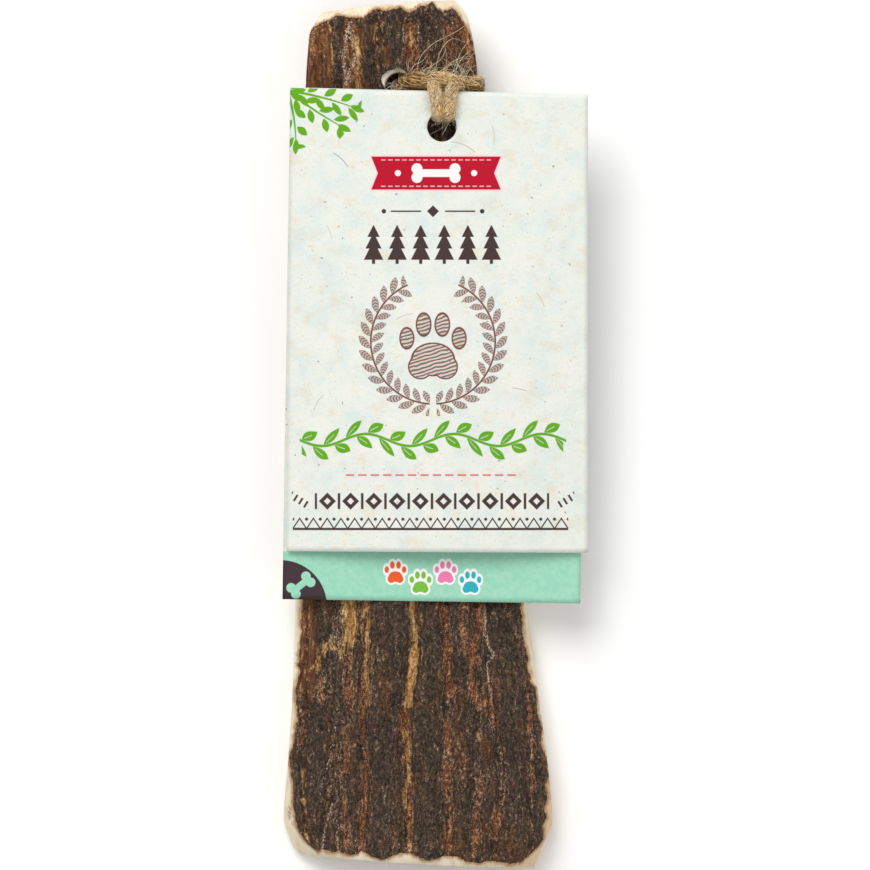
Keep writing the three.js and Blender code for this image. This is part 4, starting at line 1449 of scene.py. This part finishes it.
spun_twine = bmesh.new()
for lengths, roundness, paleness in (*bundles, (hairs, 0, 1.1)):
    part = spun("jute_twine", lengths, roundness, paleness)
    spun_twine.from_mesh(part)
    bpy.data.meshes.remove(part)
twine_mesh = mesh_of("jute_twine", spun_twine)
twine_x, twine_y, twine_z = picture_of(corners_of(twine_mesh))
side_x = line_at(RIGHT_EDGE, twine_y)
beyond = (twine_x > side_x) & (twine_y < STRANDS_Y)
twine_x = np.where(beyond, side_x + (twine_x - side_x) * SQUEEZED_SIDE, twine_x)
low = (twine_y > PUNCH_TOP) & (np.abs(twine_x - PUNCH_X) < PUNCH_RADIUS / MM)
twine_y = np.where(low, PUNCH_TOP + (twine_y - PUNCH_TOP) * SQUEEZED_PUNCH, twine_y)
put_corners(twine_mesh, twine_x, twine_y, np.maximum(twine_z, 0.02))
twine = linked("jute_twine", twine_mesh)


def jute_finish():
    """Golden jute, each fibre lighter or darker than the next and streaked along itself.

    Dark brown in the gaps between fibres is painted shade.
    """
    finish = Finish("jute")
    along_fibre = finish.node("CombineXYZ", None, {
        0: finish.mark("run") * 0.6, 1: finish.mark("tone") * 40, 2: finish.mark("tone") * 17,
    })
    streaked = finish.noise(along_fibre, 1.4, 3, 0.6)
    fine = finish.noise(finish.place, 4.5, 3, 0.65)
    colour = finish.ramp(streaked * 0.45 + fine * 0.35 + finish.mark("tone") * 0.2, [
        (0.34, 80, 50, 20), (0.43, 166, 118, 60), (0.52, 238, 190, 120),
        (0.64, 255, 234, 184), (0.78, 255, 250, 230),
    ])
    # Dark brown where a stretched noise is low: painted shade in the gaps between fibres.
    painted_gap_shade = finish.noise(finish.place.scaled(1, 0.55, 1), 2.6, 2, 0.5).rising(0.48, 0.38)
    colour = finish.blend(painted_gap_shade * 0.5, colour, ink(92, 58, 24))
    height = fine + streaked * 0.8
    return finish.done(colour, 0.62 + fine * 0.2, height, 0.00016)


twine.data.materials.append(jute_finish())
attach(twine, "root")
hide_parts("twine")

# The table, the light and the camera
# The chew lies on its sawn back on a plain white table, under a soft lamp and a weaker, larger one
# that fills its shadows. The camera looks straight down on it.

PICTURE_SIDE = 870
CAMERA_HEIGHT = 2000
SHARP_HEIGHT = 9
SENSOR = 36

table = bmesh.new()
bmesh.ops.create_grid(table, x_segments=1, y_segments=1, size=3)
floor = linked("table", mesh_of("table", table))
floor_finish = Finish("table")
floor.data.materials.append(floor_finish.done(ink(255, 255, 255), 0.9))

eye = bpy.data.cameras.new("eye")
eye.sensor_width = SENSOR
eye.lens = SENSOR * (CAMERA_HEIGHT - SHARP_HEIGHT) / (PICTURE_SIDE * MM)
eye.clip_end = 10
camera = linked("eye", eye)
camera.location = ((PICTURE_SIDE / 2 - MIDDLE_X) * MM / 1000, 0, CAMERA_HEIGHT / 1000)
bpy.context.scene.camera = camera


def lamp(name, size, power, x, y, z):
    """A square lamp that is aimed at the middle of the table."""
    light = bpy.data.lights.new(name, "AREA")
    light.size = size
    light.energy = power
    hung = linked(name, light)
    hung.location = (x, y, z)
    hung.rotation_euler = (math.atan2(math.hypot(x, y), z), 0, math.atan2(x, -y))


lamp("soft_lamp", 0.8, 12.1, -0.36, 0.72, 1.1)
lamp("fill_lamp", 1.6, 4.8, 0.66, -0.42, 1.25)
world = bpy.data.worlds.new("studio")
world.use_nodes = True
backdrop = world.node_tree.nodes["Background"]
backdrop.inputs["Color"].default_value = (1, 1, 1, 1)
backdrop.inputs["Strength"].default_value = 0.45
bpy.context.scene.world = world
bpy.context.scene.view_settings.view_transform = "Standard"
